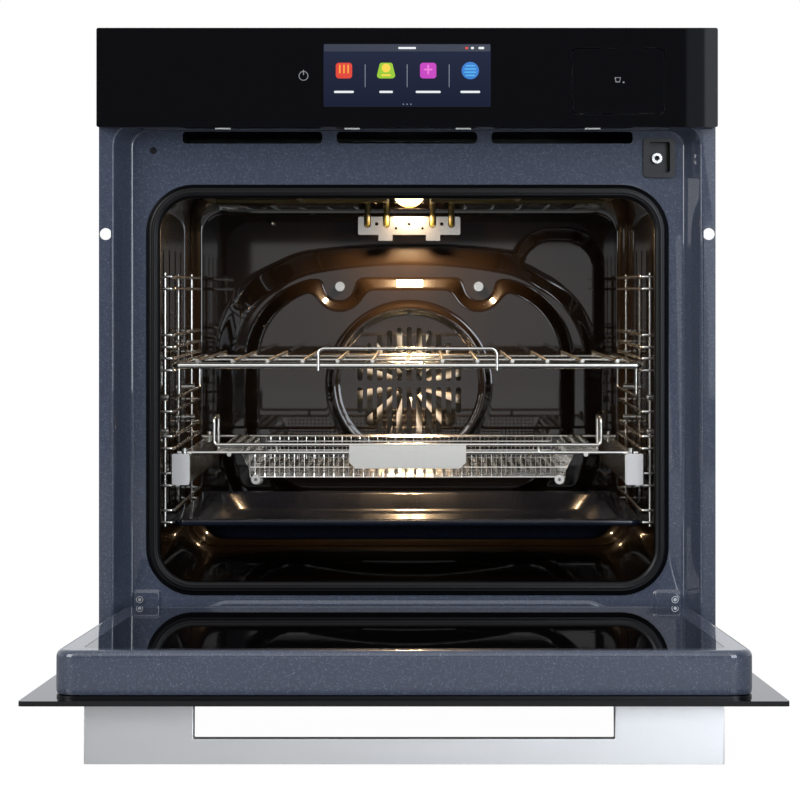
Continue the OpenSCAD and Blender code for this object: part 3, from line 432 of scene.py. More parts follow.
def woven_wires():
    """Parallel crimped wires in a plane, each turned over against its neighbour."""
    tree, given, out = node_tree("woven wires", [
        ("Crossings", "NodeSocketInt"), ("Wires", "NodeSocketInt"), ("Pitch", "NodeSocketFloat"),
        ("Wire radius", "NodeSocketFloat"), ("Crimp", "NodeSocketFloat"), ("Turned", "NodeSocketInt")])
    new, join = tree.nodes.new, tree.links.new

    def arithmetic(operation, *values):
        node = new("ShaderNodeMath")
        node.operation = operation
        for socket, value in zip(node.inputs, values):
            if isinstance(value, (int, float)):
                socket.default_value = value
            else:
                join(value, socket)
        return node.outputs[0]

    def line(count, along):
        node = new("GeometryNodeMeshLine")
        join(count, node.inputs["Count"])
        step = new("ShaderNodeCombineXYZ")
        join(given.outputs["Pitch"], step.inputs[along])
        join(step.outputs[0], node.inputs["Offset"])
        return node.outputs["Mesh"]

    index = new("GeometryNodeInputIndex").outputs[0]
    odd = arithmetic("MODULO", index, 2)
    lift = arithmetic("MULTIPLY", arithmetic("MULTIPLY_ADD", odd, 2, -1), given.outputs["Crimp"])
    offset = new("ShaderNodeCombineXYZ")
    join(lift, offset.inputs["Z"])
    crimped = new("GeometryNodeSetPosition")
    join(line(given.outputs["Crossings"], "X"), crimped.inputs["Geometry"])
    join(offset.outputs[0], crimped.inputs["Offset"])
    curve = new("GeometryNodeMeshToCurve")
    join(crimped.outputs[0], curve.inputs[0])
    profile = new("GeometryNodeCurvePrimitiveCircle")
    profile.inputs["Resolution"].default_value = 5
    join(given.outputs["Wire radius"], profile.inputs["Radius"])
    wire = new("GeometryNodeCurveToMesh")
    wire.inputs["Fill Caps"].default_value = True
    join(curve.outputs[0], wire.inputs["Curve"])
    join(profile.outputs[0], wire.inputs["Profile Curve"])
    turn = new("ShaderNodeCombineXYZ")
    phase = arithmetic("MODULO", arithmetic("ADD", index, given.outputs["Turned"]), 2)
    join(arithmetic("MULTIPLY", phase, math.pi), turn.inputs["X"])
    row = new("GeometryNodeInstanceOnPoints")
    join(line(given.outputs["Wires"], "Y"), row.inputs["Points"])
    join(wire.outputs[0], row.inputs["Instance"])
    join(turn.outputs[0], row.inputs["Rotation"])
    solid = new("GeometryNodeRealizeInstances")
    join(row.outputs[0], solid.inputs[0])
    paint = new("GeometryNodeSetMaterial")
    paint.inputs["Material"].default_value = MATERIALS["stainless_wire"]
    join(solid.outputs[0], paint.inputs["Geometry"])
    join(paint.outputs[0], out.inputs["Geometry"])
    return tree


WEAVE = woven_wires()


def woven_panel(name, across, along, pitch, wire, place):
    """A woven wire panel centred on place: across by along millimetres in its own X and Y."""
    nx = max(2, round(across / pitch) + 1)
    ny = max(2, round(along / pitch) + 1)
    shared = {"Pitch": pitch * MM, "Wire radius": wire * MM, "Crimp": wire * 0.8 * MM}
    warp = grow(name + "_a", WEAVE, {"Crossings": nx, "Wires": ny, "Turned": 0, **shared})
    weft = grow(name + "_b", WEAVE, {"Crossings": ny, "Wires": nx, "Turned": 1, **shared})
    half = Vector(((nx - 1) * pitch / 2, (ny - 1) * pitch / 2, 0)) * MM
    warp.data.transform(Matrix.Translation(-half))
    swap = Matrix(((0, 1, 0, 0), (1, 0, 0, 0), (0, 0, -1, 0), (0, 0, 0, 1)))
    weft.data.transform(Matrix.Translation(-half) @ swap)
    panel = joined(name, warp, weft)
    panel.data.transform(place)
    return panel


# ---------------------------------------------------------------- front frame

RECESS_FRONT = (283.4, 6, 494.5)
RECESS_FLOOR = (270, 12, 492)
MOUTH = (485, 377, 35)
SEAL_MID = 238.5


def recess_outline(t):
    """The recess outline, from the flange at t = 0 to the floor at t = 1."""
    half, low, high = (a + (b - a) * t for a, b in zip(RECESS_FRONT, RECESS_FLOOR))
    return rounded(0, (low + high) / 2, 2 * half, high - low, 19 - 3 * t, 8)


def inset_loop(loop, d):
    """A smooth counter-clockwise loop moved inwards by d."""
    moved = []
    for i, (x, z) in enumerate(loop):
        (ax, az), (bx, bz) = loop[i - 1], loop[(i + 1) % len(loop)]
        length = math.hypot(bx - ax, bz - az) or 1
        moved.append((x - (bz - az) / length * d, z + (bx - ax) / length * d))
    return moved


PRESSED_EDGE = ((-0.4, -0.15), (0.3, 0), (1.1, 0.25), (2.2, 0.72), (3.0, 0.95), (3.7, 1))


def pad(loop, rise):
    """A pressed pad that stands rise millimetres in front of the recess floor."""
    rings = [at_depth(inset_loop(loop, inset), RECESS_Y - rise * share) for inset, share in PRESSED_EDGE]
    top = [(x, z) for x, y, z in rings[-1]]
    return add_up([loft(rings), plate([top], RECESS_Y - rise)])


def ledge_outline():
    """The ledge under the mouth: a long raised strip whose top runs down in a curve at each end."""
    top = [(x, 26 + 7.4 * ease((202 - abs(x)) / 26)) for x in range(230, -231, -4)]
    turns = [math.radians(18 * i) for i in range(11)]
    ends = [[(s * (232.5 + 3.5 * math.sin(a)), 21.5 - s * 4.5 * math.cos(a)) for a in turns] for s in (1, -1)]
    return [*ends[0], *top[1:-1], *ends[1]]


def carved(obj, boxes):
    """Cuts boxes, given as two corners in millimetres, out of a closed piece."""
    bm = bmesh.new()
    for low, high in boxes:
        middle = [(a + b) / 2 * MM for a, b in zip(low, high)]
        size = [(b - a) * MM for a, b in zip(low, high)]
        bmesh.ops.create_cube(bm, size=1, matrix=Matrix.LocRotScale(Vector(middle), None, Vector(size)))
    me = bpy.data.meshes.new("cutter")
    bm.to_mesh(me)
    bm.free()
    tool = bpy.data.objects.new("cutter", me)
    bpy.context.scene.collection.objects.link(tool)
    m = obj.modifiers.new("cut", "BOOLEAN")
    m.operation, m.solver, m.object = "DIFFERENCE", "EXACT", tool
    applied(obj)
    bpy.data.objects.remove(tool)
    return obj


def make_front_frame():
    profile = ((-0.16, -1.2), (-0.06, -1.1), (0.01, -0.7), (0.06, 0.3), (0.12, 1.8), (0.5, 12.4),
               (0.84, 21.6), (0.91, 23.4), (0.98, 24.7), (1.08, 25.6), (1.22, RECESS_Y))
    rings = [at_depth(recess_outline(t), y) for t, y in profile]
    flange = rounded(0, 285.5, FRONT_W, 587, 2, 2)
    screw_holes = [circle(s * 291, 390, 5.75) for s in (-1, 1)]
    upper = rounded(0, 533, 524, 70, 4, 3)
    w, h, r = MOUTH
    mouth = [rounded(0, SEAL_MID, w - 2 * i, h - 2 * i, r - i, 10) for i in (-3, -1, 0, 0)]
    vents = [rounded((a + b) / 2, 484.7, b - a, 11.6, 4, 4) for a, b in ((-219.5, -83), (-69, 68), (82, 220))]
    extra = [circle(-248, 472, 3.4), rounded(245.5, 465, 25, 33, 3, 3)]
    parts = [
        loft(rings),
        plate([flange, recess_outline(profile[0][0]), upper, *screw_holes], FLANGE_Y),
        plate([recess_outline(profile[-1][0]), mouth[0], *vents, *extra], RECESS_Y),
        loft([at_depth(ring, RECESS_Y + back) for ring, back in zip(mouth, (0, 0.5, 1.4, 3))]),
    ]
    shell = mesh_piece("front_frame_pressing", *add_up(parts), merge=0.01)
    thicken(shell, 1.1)
    hinge_pads = [pad(rounded(s * 254.5, 30.5, 30, 27, 5, 5), 2) for s in (-1, 1)]
    trim = mesh_piece("front_frame_trim", *add_up([*hinge_pads, pad(ledge_outline(), 2)]), merge=0.01)
    hinge_slots = [((s * 256 - 6.2, -3, 0), (s * 256 + 6.2, 30, 27.5)) for s in (-1, 1)]
    carved(shell, hinge_slots)
    carved(trim, hinge_slots)
    return dress(evened(joined("front_frame_enamel", shell, trim)), "carcass", "grey_enamel", "front_frame")


def make_hinge_screws():
    """Blackened pan heads with a cross recess, on the hinge pads."""
    dome = ((3.6, 23.9), (3.55, 23.2), (3.2, 22.6), (2.5, 22.3), (1.7, 22.25), (1.5, 23.1), (0.1, 23.2))
    parts = []
    for s in (-1, 1):
        x, z = s * 260.9, 34.2
        parts.append(loft([at_depth(circle(x, z, r, 28), y) for r, y in dome]))
        for w, h in ((0.55, 3.6), (3.6, 0.55)):
            parts.append(loft([at_depth(rounded(x, z, w, h, 0.2, 2), y) for y in (22.3, 22.28)]))
    return dress(mesh_piece("hinge_screw_heads", *add_up(parts), merge=0.001), "carcass", "black_plastic")


# ---------------------------------------------------------------- seal and cavity

def make_seal():
    """The hollow silicone profile round the cavity's mouth, with its fine moulded ridges."""
    w, h, r = 506.4, 397.8, 45
    profile = ((-1.9, 26), (-1.8, 25.3), (-1.3, 24.9), (-0.4, 24.6), (0.1, 24.2), (0.7, 23.4), (1.7, 22.6),
               (2.9, 22.0), (4.0, 21.75), (4.5, 22.0), (5.0, 21.7), (6.2, 21.65), (7.4, 21.75), (7.9, 22.05),
               (8.4, 21.85), (9.3, 22.2), (10.4, 22.9), (11.6, 23.6), (12.3, 24.6), (12.4, 26))
    rings = []
    for i, y in profile:
        tall = h - 2 * min(i, 0) * 0.8 - 2 * max(i, 0)
        rings.append(at_depth(rounded(0, SEAL_MID, w - 2 * i, tall, r - i, 16), y))
    return dress(mesh_piece("mouth_seal", *loft(rings + rings[:1]), merge=0.01, smooth=80),
                 "carcass", "seal_rubber", "cavity_gasket")


CAVITY_W, CAVITY_H, CAVITY_MID = 494, 400, 247
BACK_Y = 438
FAN_Z = 229


def box_distance(x, z, half_w, low, high, r):
    """Signed distance to a box with rounded corners, negative inside."""
    qx = abs(x) - half_w + r
    qz = abs(z - (low + high) / 2) - (high - low) / 2 + r
    return min(max(qx, qz), 0) + math.hypot(max(qx, 0), max(qz, 0)) - r


def ease(t):
    t = min(max(t, 0), 1)
    return t * t * (3 - 2 * t)


def straight_slope(t, bend=0.16):
    """0 to 1 along a straight slope whose two ends are rounded over."""
    t = min(max(t, 0), 1)
    if t < bend:
        return t * t / (2 * bend * (1 - bend))
    if t > 1 - bend:
        return 1 - (1 - t) ** 2 / (2 * bend * (1 - bend))
    return (t - bend / 2) / (1 - bend)


def between(outer, inner):
    """0 outside the outer outline, 1 inside the inner one, sloped in between."""
    if outer >= 0:
        return 0
    if inner <= 0:
        return 1
    return straight_slope(-outer / (inner - outer))


def blended_max(a, b, k):
    """The larger of a and b, rounded over within k of where they are equal."""
    h = max(k - abs(a - b), 0) / k
    return max(a, b) + h * h * k / 4


def back_relief(x, z):
    """How far the pressed back wall stands forward of its flat, in millimetres."""
    crown = min(x * x, 22500)
    arch = between(box_distance(x, z + 0.00055 * crown, 221, 68, 388, 108),
                   box_distance(x, z + 0.0009 * crown, 200, 84, 365.5, 92))
    lobe = between(box_distance(x - 170, z, 54, 215, 407, 46), box_distance(x - 170, z, 40, 225, 393, 32))
    pedestal = blended_max(5.5 * arch, 3.2 * lobe, 1.6)
    screws = [math.hypot(abs(x) - 79.5, z - 340.7), math.hypot(abs(x) - 172, z - 119)]
    notches = (18 - screws[0], 7 - screws[1]), (28.5 - screws[0], 13 - screws[1])
    edges = (box_distance(x, z, 188, 90, 349.5, 96), box_distance(x, z, 172, 104, 337, 80))
    raised = between(*(blended_max(blended_max(edge, a, 14), b, 8) for edge, (a, b) in zip(edges, notches)))
    ring = math.hypot(x, z - FAN_Z)
    bead = math.exp(-((ring - 86) / 4.4) ** 2) * 2.6
    return pedestal + 7.0 * raised + bead * raised


def make_back_wall():
    def loop(side, top, bottom, r, n_corner=10, n_side=140):
        """Concentric loops with evenly spread points, so that the relief can be set point by point."""
        a = CAVITY_W / 2 - side - r
        high, low = CAVITY_MID + CAVITY_H / 2 - top - r, CAVITY_MID - CAVITY_H / 2 + bottom + r
        corners = ((a, low, -90), (a, high, 0), (-a, high, 90), (-a, low, 180))
        points = []
        for k, (x, z, start) in enumerate(corners):
            arc = [(x + r * math.cos(math.radians(start + 90 * i / n_corner)),
                    z + r * math.sin(math.radians(start + 90 * i / n_corner))) for i in range(n_corner + 1)]
            nx, nz, turn = corners[(k + 1) % 4]
            target = (nx + r * math.cos(math.radians(turn)), nz + r * math.sin(math.radians(turn)))
            points += arc
            points += [(arc[-1][0] + (target[0] - arc[-1][0]) * i / n_side,
                        arc[-1][1] + (target[1] - arc[-1][1]) * i / n_side) for i in range(1, n_side)]
        return points

    bend, side_bend, top_bend = 24, 11, 24
    rings = [at_depth(loop(0.4, 0.4, 0.4, 30), 405), at_depth(loop(0.4, 0.4, 0.4, 30), BACK_Y - bend)]
    for i in range(1, 13):
        a = math.radians(90 * i / 12)
        t = 1 - math.cos(a)
        y = BACK_Y - bend + bend * math.sin(a)
        rings.append(at_depth(loop(0.4 + side_bend * t, 0.4 + top_bend * t, 0.4 + bend * t, 30 - 8 * t), y))
    step, inset = 1.6, 0
    while inset < 166:
        inset += step
        rings.append(at_depth(loop(0.4 + side_bend + inset, 0.4 + top_bend + inset, 0.4 + bend + inset,
                                   max(22 - inset, 3)), BACK_Y))
    rings = [[(x, y - back_relief(x, z) * (y == BACK_Y), z) for x, y, z in ring] for ring in rings]
    verts, faces = loft(rings)
    hole = 76
    faces = [f for f in faces if min(math.hypot(verts[i][0], verts[i][2] - FAN_Z) for i in f) > hole]
    wall = mesh_piece("back_wall_pressing", verts, faces, smooth=60)

    face_y = BACK_Y - 12.5 - 0.3
    slots = []
    pitch, half_w, reach, bar = 11.2, 3.05, 65, 3.5
    for i in range(-5, 6):
        tall = math.sqrt(reach * reach - (i * pitch) ** 2)
        for s in (-1, 1):
            slots.append(rounded(i * pitch, FAN_Z + s * (tall + bar) / 2, 2 * half_w, tall - bar, 3, 4))
    grille = mesh_piece("fan_grille", *plate([circle(0, FAN_Z, 78.5, 96), *slots], face_y))
    thicken(grille, 1.0)
    pocket = ((77, face_y + 2), (104, face_y + 6), (112, 440), (112, 458), (108, 460), (9, 460))
    inside = mesh_piece("fan_pocket", *loft([at_depth(circle(0, FAN_Z, r, 64), y) for r, y in pocket]))
    return dress(joined("cavity_back_wall", wall, grille, inside), "carcass", "cavity_enamel",
                 "cavity_back", "rear_baffle")


def make_fan_wheel():
    """A heat-darkened disc with bright pitched blades on its front and a hub in the middle."""
    blade_count, front = 12, 435
    inner, outer, half_width = 15, 64, 7.5
    profile = ((4, 453.4), (67.2, 453.4), (67.6, 453), (67.2, 452.6), (14, 452.6), (13, 449), (9, 448),
               (9, 438), (4, 438))
    rings = [at_depth(circle(0, FAN_Z, r, 96), y) for r, y in profile]
    disc = mesh_piece("fan_disc", *loft(rings), outward=True)
    blades = []
    for i in range(blade_count):
        turn = Matrix.Rotation(math.tau * (i + 0.5) / blade_count, 3, "Y")
        rows = []
        for k in range(6):
            r = inner + (outer - inner) * k / 5
            width = half_width * (0.45 + 0.11 * k)
            rows += [(width, front + 3, r), (0, front + 6, r + 1.5), (-width, front + 12, r)]
        verts = [tuple(turn @ Vector(v) + Vector((0, 0, FAN_Z))) for v in rows]
        faces = [(3 * k + j, 3 * k + j + 1, 3 * k + j + 4, 3 * k + j + 3) for k in range(5) for j in range(2)]
        blades.append((verts, faces))
    vanes = mesh_piece("fan_blades", *add_up(blades), smooth=50)
    thicken(vanes, 0.8, 0.0)
    dress(vanes, "fan", "stainless_wire", material=MATERIALS["fan_steel"])
    return dress(disc, "fan", "stainless_wire", "convection_fan", material=MATERIALS["dark_steel"])


# ---------------------------------------------------------------- door

def make_door_frame():
    mid, h = (472.5 + 12) / 2, 460.5
    profile = ((7, -14), (2.6, -13.9), (0.9, -13.0), (0.1, -10.8), (0, -8), (0, 15.4), (0.25, 17.3),
               (1.0, 19.1), (2.3, 20.4), (3.9, 21.05), (5.6, 21.2))
    rings = [at_depth(rounded(0, mid, 546 - 2 * i, h - 2 * i, max(19 - i, 8), 10), y) for i, y in profile]
    rings = [list(reversed(r)) for r in rings]
    face = [(x, z) for x, y, z in rings[-1]]
    window = rounded(0, 245, 506, 418, 16, 12)
    lip = [at_depth(rounded(0, 245, 506 - 2 * i, 418 - 2 * i, 16 - i, 12), y)
           for i, y in ((0, 21.2), (0.2, 20.9), (0.2, 18))]
    parts = [loft(rings), plate([face, window], 21.2, forward=False), loft(lip)]
    shell = mesh_piece("door_frame_pressing", *add_up(parts), merge=0.01, outward=True)
    return dress(evened(opened(shell)), "door", "grey_enamel", "door_frame")


def make_handle():
    top, thick, half = 462, 12, 250
    grip_half, grip_y = 164.5, -48
    outline = [(-half, -67.8), (half, -67.8), (half, -20.05), (grip_half, -20.05), (grip_half, grip_y),
               (-grip_half, grip_y), (-grip_half, -20.05), (-half, -20.05)]
    low = [(x, y, top - thick) for x, y in outline]
    high = [(x, y, top) for x, y in outline]
    tris = [tuple(t) for t in tessellate_polygon([[Vector((x, y, 0)) for x, y in outline]])]
    n = len(outline)
    faces = [tuple(reversed(t)) for t in tris] + [tuple(i + n for i in t) for t in tris]
    faces += [(i, (i + 1) % n, (i + 1) % n + n, i + n) for i in range(n)]
    slab = mesh_piece("door_handle_slab", low + high, faces, outward=True)
    soften(slab, 0.7, 3)
    return dress(evened(opened(slab)), "door", "brushed_aluminium", "door_handle")


# ---------------------------------------------------------------- lamp, tray, runners and basket

def make_lamp_lens():
    """A blown glass cap that stands out of the ceiling."""
    profile = [(17.6 * math.sin(a), -17.2 * math.cos(a)) for a in (math.radians(6 * i) for i in range(1, 16))]
    rings = [[(x, y, 446 + h) for x, y in circle(0, 398, r, 48)] for r, h in [*profile, (17.6, 4)]]
    verts, faces = loft(rings)
    faces.append(tuple(reversed(range(48))))
    cap = mesh_piece("lamp_glass_cap", verts, faces, outward=True)
    return dress(cap, "carcass", "lamp_glass", "lamp_lens")


def make_tray():
    z, mid = 108, 225

    def ring(w, d, r, height):
        return [(x, y, height) for x, y in rounded(0, mid, w, d, r, 10)]

    profile = [(464, 354, 14, -4.2), (464, 354, 14, 0), (463, 353, 13.5, 0.9), (461, 351, 13, 1.2),
               (426, 324, 33, 1.2), (422, 320, 31, 0.8), (418, 316, 29, -0.8), (396, 298, 27, -15.5),
               (390, 292, 25, -18.4), (384, 286, 23, -20), (374, 276, 20, -20.6)]
    rings = [ring(w, d, r, z + h) for w, d, r, h in profile]
    verts, faces = loft(rings)
    start = len(verts) - len(rings[-1])
    faces.append(tuple(range(start, len(verts))))
    tray = mesh_piece("tray_pressing", verts, faces)
    bm = bmesh.new()
    bm.from_mesh(tray.data)
    bmesh.ops.triangulate(bm, faces=[f for f in bm.faces if len(f.verts) > 4])
    bm.to_mesh(tray.data)
    bm.free()
    thicken(tray, 1.1)
    return dress(tray, "tray", "tray_enamel", "baking_tray")


def make_runner_plates():
    """The bead-blasted front faces of the two moving rails."""
    w, h, y = 17, 30.8, 50
    plates = []
    for s in (-1, 1):
        rings = [at_depth(rounded(s * 223.8, 159.1, w - 2 * i, h - 2 * i, 1.5, 5), y - d)
                 for i, d in ((0.1, -0.4), (0.1, 0.1), (0.3, 0.3))]
        plates += [loft(rings), plate([[(x, z) for x, _, z in rings[-1]]], y - 0.3)]
    fronts = mesh_piece("runner_front_faces", *add_up(plates), merge=0.01, outward=True)
    return dress(fronts, "carriage", "stainless_wire", material=MATERIALS["plate_steel"])


def make_basket():
    y0, y1 = 73, 334
    mid = (y0 + y1) / 2
    pitch, wire = 4.9, 0.45
    sides = ((154, 150.3), (166, 174), (189, 176))
    flat = Matrix.Translation(Vector((0, mid, sides[0][1])) * MM)
    parts = [woven_panel("basket_floor", 2 * sides[0][0], y1 - y0, pitch, wire, flat)]
    rise = sides[1][1] - sides[0][1]
    for y in (y0, y1):
        centre = Vector((0, y, sides[0][1] + rise / 2)) * MM
        upright = Matrix.Translation(centre) @ Matrix.Rotation(math.pi / 2, 4, "X")
        parts.append(woven_panel("basket_end", 2 * (sides[0][0] + 4), rise, pitch, wire, upright))
    for s in (-1, 1):
        for (ax, az), (bx, bz) in zip(sides, sides[1:]):
            lean = Matrix.Rotation(-s * math.atan2(bz - az, bx - ax), 4, "Y")
            place = Matrix.Translation(Vector((s * (ax + bx) / 2, mid, (az + bz) / 2)) * MM) @ lean
            width = math.hypot(bx - ax, bz - az)
            parts.append(woven_panel("basket_side", width, y1 - y0, pitch, wire, place))
    foot = ((1.4, 1.6), (1.4, 0.3), (1.7, 0), (4.6, 0), (5, 0.3), (5, 1.7), (4.7, 2), (1.4, 2))
    feet = []
    for s in (-1, 1):
        for y in (y0 - 2, y1):
            feet.append(loft([at_depth(circle(s * 151, 147.5, r, 32), y + d) for r, d in foot]))
    parts.append(mesh_piece("basket_feet", *add_up(feet), outward=True))
    return dress(joined("basket_weave", *parts), "basket", "stainless_wire", "basket_mesh")


# ---------------------------------------------------------------- control panel

def tile(name, loop, y, thick, material):
    """A thin raised tile on the panel, drawn in X and Z."""
    obj = mesh_piece(name, *plate([loop], y - thick))
    thicken(obj, thick - 0.02)
    return dress(evened(obj), "carcass", "screen", material=material)


def lit(name, colour, strength=1.0):
    """A mark that glows in one colour and shows black when it is dark."""
    return Finish(name, (0, 0, 0, 1), 0.3, Emission_Color=colour, Emission_Strength=strength).material


def make_screen():
    y = -20.0
    base = Finish("lit screen", tone(10, 12, 22), 0.05, Emission_Strength=1.0)
    glow = base.ramp(base.height(511 * MM, 572 * MM), 0.0, 1.0, tone(22, 26, 44), tone(34, 40, 60))
    base.link(glow, base.shader.inputs["Emission Color"])
    white = lit("screen white", tone(235, 238, 242))
    grey = lit("screen grey", tone(120, 126, 140))
    bar = lit("screen bar", tone(44, 50, 68))
    tile("screen_face", rounded(0, 541.4, 160, 60, 1, 2), y, 0.25, base.material)
    tile("screen_status_bar", rounded(0, 567.6, 159, 6.6, 0.8, 2), y - 0.25, 0.1, bar)
    tile("screen_title", rounded(0, 567.6, 17, 2.0, 0.8, 2), y - 0.35, 0.1, white)
    for i, x in enumerate((57, 62.5, 71)):
        tile(f"screen_status_{i}", rounded(x, 567.6, 3 + 2.6 * (i == 2), 2.2, 0.9, 2), y - 0.35, 0.1,
             (lit("status red", tone(226, 70, 60)), white, white)[i])
    for i in range(3):
        tile(f"screen_dot_{i}", circle((i - 1) * 3.6, 513.8, 0.7, 12), y - 0.25, 0.1, grey)
        tile(f"screen_line_{i}", rounded((i - 1) * 40.2, 541, 0.7, 22, 0.3, 2), y - 0.25, 0.1, grey)
    colours = [
        (tone(222, 60, 42), tone(250, 170, 60)), (tone(150, 200, 40), tone(248, 214, 70)),
        (tone(196, 58, 190), tone(236, 120, 220)), (tone(40, 120, 205), tone(80, 180, 235)),
    ]
    for i, (low, high) in enumerate(colours):
        x, z = (i - 1.5) * 40.3, 546
        shape = circle(x, z, 8.3, 40) if i == 3 else rounded(x, z, 15.6, 15.0, 3, 6)
        if i == 1:
            shape = [(px + (px - x) * (0.12 if pz < z else -0.16), pz) for px, pz in shape]
        tile(f"screen_icon_{i}", shape, y - 0.25, 0.12, lit(f"icon back {i}", low))
        if i == 0:
            marks = [rounded(x + d, z + 1.5, 1.3, 8.5, 0.6, 3) for d in (-4, 0, 4)]
        elif i == 1:
            marks = [circle(x, z + 2.5, 4.2, 24), rounded(x, z - 4.4, 9, 1.8, 0.8, 3)]
        elif i == 2:
            marks = [rounded(x, z + 1, 1.6, 9.5, 0.7, 3), rounded(x, z + 1, 8.2, 1.6, 0.7, 3)]
        else:
            marks = [rounded(x, z + d, 12.5 - abs(d) * 0.7, 1.2, 0.5, 3) for d in (-4.6, -1.5, 1.5, 4.6)]
        for k, loop in enumerate(marks):
            tile(f"screen_icon_{i}_{k}", loop, y - 0.37, 0.1, lit(f"icon mark {i} {k}", high))
        tile(f"screen_label_{i}", rounded(x, 525.6, 19 - 6 * (i == 1) + 5 * (i == 2), 2.1, 0.9, 2),
             y - 0.25, 0.1, white)


def make_touch_marks():
    y = -20.0
    # The printed marks are drawn glowing: painted light that keeps the print pale whatever light falls on it.
    pale = lit("printed mark with painted glow", tone(150, 152, 156), 0.8)
    ring = plate([circle(-99.2, 541, 4.6, 40), circle(-99.2, 541, 3.9, 40)], y - 0.12)
    mark = add_up([ring, plate([rounded(-99.2, 544.2, 0.9, 5.0, 0.4, 2)], y - 0.14)])
    power = mesh_piece("power_mark", *mark)
    thicken(power, 0.08)
    dress(power, "carcass", "screen", material=pale)
    cup = [(-3.4, 1.6), (2.6, 1.6), (1.6, -3.2), (-2.4, -3.2)]
    inner = [(x * 0.72, z * 0.72 - 0.1) for x, z in cup]
    shapes = [plate([[(202 + x, 538 + z) for x, z in cup], [(202 + x, 538 + z) for x, z in inner]], y - 0.12),
              plate([circle(207.2, 534.8, 0.9, 14)], y - 0.12)]
    drop = mesh_piece("tank_mark", *add_up(shapes))
    thicken(drop, 0.08)
    dress(drop, "tank", "screen", material=pale)


def make_panel_clips():
    """Bright spring clips that show under the panel's lower edge."""
    parts = []
    for x in (-177, -53, 54, 178):
        outline = rounded(x, 490.9, 14.9, 1.4, 0.6, 3)
        parts.append(loft([at_depth(outline, y) for y in (-14.1, -14, -4.1, -3.9)]))
        parts.append(plate([outline], -14.1))
    clips = mesh_piece("panel_clips", *add_up(parts), merge=0.01, outward=True)
    return dress(clips, "carcass", "white_plastic")


# ---------------------------------------------------------------- assembly

make_front_frame()
make_hinge_screws()
make_seal()
make_back_wall()
make_fan_wheel()
make_door_frame()
make_handle()
make_lamp_lens()
make_tray()
make_basket()
make_runner_plates()
make_screen()
make_touch_marks()
make_panel_clips()

slots = {s["node"]: s["material_slot"] for s in frame["record"]["subparts"]}
bodies = {n: b for b, ns in frame["record"]["behaviour"]["bodies"].items() for n in ns}
# The air duct behind the vents takes the dark heat-darkened steel as painted shade, for the shade inside the
# panel, not its own colour.
painted_shade_finish = {"air_duct": "dark_steel"}
for node, obj in sorted(frame["nodes"].items()):
    if not obj.hide_render:
        smooth_copy(node, slots[node], bodies[node], material=MATERIALS.get(painted_shade_finish.get(node)))


# ---------------------------------------------------------------- studio

def stage_material(name, colour, camera_white):
    """Matt stage paint that the camera sees as white, while it still takes shadow."""
    material = bpy.data.materials.new(name)
    material.use_nodes = True
    nodes, links = material.node_tree.nodes, material.node_tree.links
    matt = nodes["Principled BSDF"]
    matt.inputs["Base Color"].default_value = colour
    matt.inputs["Roughness"].default_value = 0.9
    light = nodes.new("ShaderNodeEmission")
    light.inputs["Strength"].default_value = 1.13
    path = nodes.new("ShaderNodeLightPath")
    seen = nodes.new("ShaderNodeMath")
    seen.operation = "MAXIMUM"
    links.new(path.outputs["Is Camera Ray"], seen.inputs[0])
    links.new(path.outputs["Is Transmission Ray"], seen.inputs[1])
    share = nodes.new("ShaderNodeMath")
    share.operation = "MULTIPLY"
    share.inputs[1].default_value = camera_white
    links.new(seen.outputs[0], share.inputs[0])
    mix = nodes.new("ShaderNodeMixShader")
    links.new(share.outputs[0], mix.inputs[0])
    links.new(matt.outputs[0], mix.inputs[1])
    links.new(light.outputs[0], mix.inputs[2])
    links.new(mix.outputs[0], nodes["Material Output"].inputs["Surface"])
    return material


def make_floor():
    size, z = 6000, -36
    corners = [(-size, -size, z), (size, -size, z), (size, size, z), (-size, size, z)]
    floor = mesh_piece("studio_floor", corners, [(0, 1, 2, 3)])
    floor.data.materials.append(stage_material("pale floor", (0.28, 0.28, 0.28, 1), 0.87))


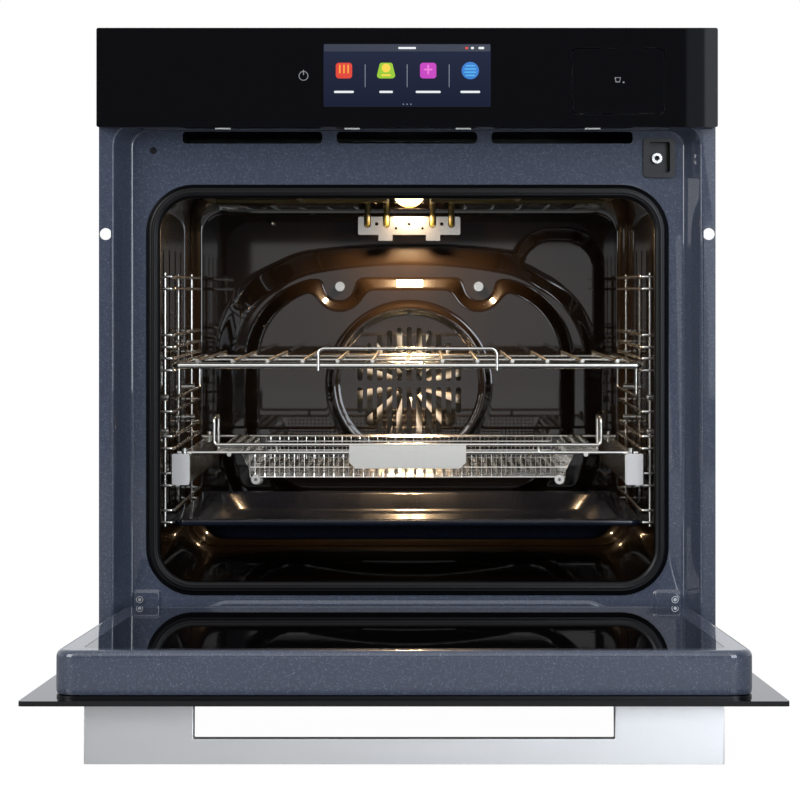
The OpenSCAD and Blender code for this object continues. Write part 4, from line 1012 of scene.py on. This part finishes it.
def make_world():
    """White behind the oven, and a darker room in front of it for its gloss."""
    world = bpy.data.worlds.new("studio")
    bpy.context.scene.world = world
    world.use_nodes = True
    nodes, links = world.node_tree.nodes, world.node_tree.links
    way = nodes.new("ShaderNodeTexCoord")
    split = nodes.new("ShaderNodeSeparateXYZ")
    links.new(way.outputs["Generated"], split.inputs[0])
    ramp = nodes.new("ShaderNodeValToRGB")
    ramp.color_ramp.elements[0].position = 0.30
    ramp.color_ramp.elements[1].position = 0.62
    ramp.color_ramp.elements[0].color = (0.05, 0.05, 0.06, 1)
    ramp.color_ramp.elements[1].color = (0.8, 0.82, 0.86, 1)
    shift = nodes.new("ShaderNodeMapRange")
    shift.inputs["From Min"].default_value = -1
    shift.inputs["From Max"].default_value = 1
    links.new(split.outputs["Y"], shift.inputs["Value"])
    links.new(shift.outputs["Result"], ramp.inputs["Fac"])
    room = nodes["Background"]
    links.new(ramp.outputs["Color"], room.inputs["Color"])
    room.inputs["Strength"].default_value = 0.9
    white = nodes.new("ShaderNodeBackground")
    white.inputs["Color"].default_value = (1, 1, 1, 1)
    path = nodes.new("ShaderNodeLightPath")
    seen = nodes.new("ShaderNodeMath")
    seen.operation = "MAXIMUM"
    links.new(path.outputs["Is Camera Ray"], seen.inputs[0])
    links.new(path.outputs["Is Transmission Ray"], seen.inputs[1])
    mix = nodes.new("ShaderNodeMixShader")
    links.new(seen.outputs[0], mix.inputs[0])
    links.new(room.outputs[0], mix.inputs[1])
    links.new(white.outputs[0], mix.inputs[2])
    links.new(mix.outputs[0], nodes["World Output"].inputs["Surface"])


def area_light(name, place, aim, size, power, colour=(1, 1, 1)):
    data = bpy.data.lights.new(name, "AREA")
    data.shape = "RECTANGLE"
    data.size, data.size_y = size
    data.energy = power
    data.color = colour
    obj = bpy.data.objects.new(name, data)
    obj.location = place
    obj.rotation_euler = (Vector(aim) - Vector(place)).to_track_quat("-Z", "Y").to_euler()
    bpy.context.scene.collection.objects.link(obj)
    return obj


def make_studio():
    """Metres and watts: soft lights in front of the oven, and the oven's own lamp and fan glow."""
    cool = (0.86, 0.92, 1.0)
    make_floor()
    make_world()
    area_light("softbox left", (-2.3, -2.0, 1.3), (0, 0, 0.3), (1.3, 1.8), 52)
    area_light("softbox right", (1.15, -2.4, 0.76), (0.3, 0, 0.3), (1.1, 1.3), 34, cool)
    area_light("softbox right edge", (0.578, -2.4, 0.76), (0.3, 0, 0.3), (0.035, 1.3), 0.17, cool)
    area_light("softbox right fringe", (0.543, -2.4, 0.76), (0.3, 0, 0.3), (0.035, 1.3), 0.036, cool)
    area_light("front top", (0, -1.9, 2.0), (0, 0, 0.3), (3.4, 2.4), 32)
    area_light("grey card", (0.03, -2.75, 0.17), (0.03, 0, 0.17), (0.86, 0.56), 1.3)
    area_light("oven lamp", (0, 0.396, 0.4245), (0, 0.36, 0.2), (0.03, 0.03), 3.2, (1.0, 0.66, 0.36))
    area_light("fan pocket", (0, 0.4275, 0.229), (0, 0.6, 0.229), (0.11, 0.11), 0.03, (1.0, 0.82, 0.60))


def make_camera():
    data = bpy.data.cameras.new("camera")
    data.lens = 110.57
    data.sensor_width = 36
    data.shift_x = -0.0255
    data.shift_y = -0.1375
    data.clip_start, data.clip_end = 0.05, 50
    obj = bpy.data.objects.new("camera", data)
    obj.location = (0.0127, -2.372, 0.336)
    obj.rotation_euler = (math.pi / 2, 0, 0)
    bpy.context.scene.collection.objects.link(obj)
    bpy.context.scene.camera = obj


make_studio()
make_camera()
bpy.context.scene.view_settings.view_transform = "Standard"
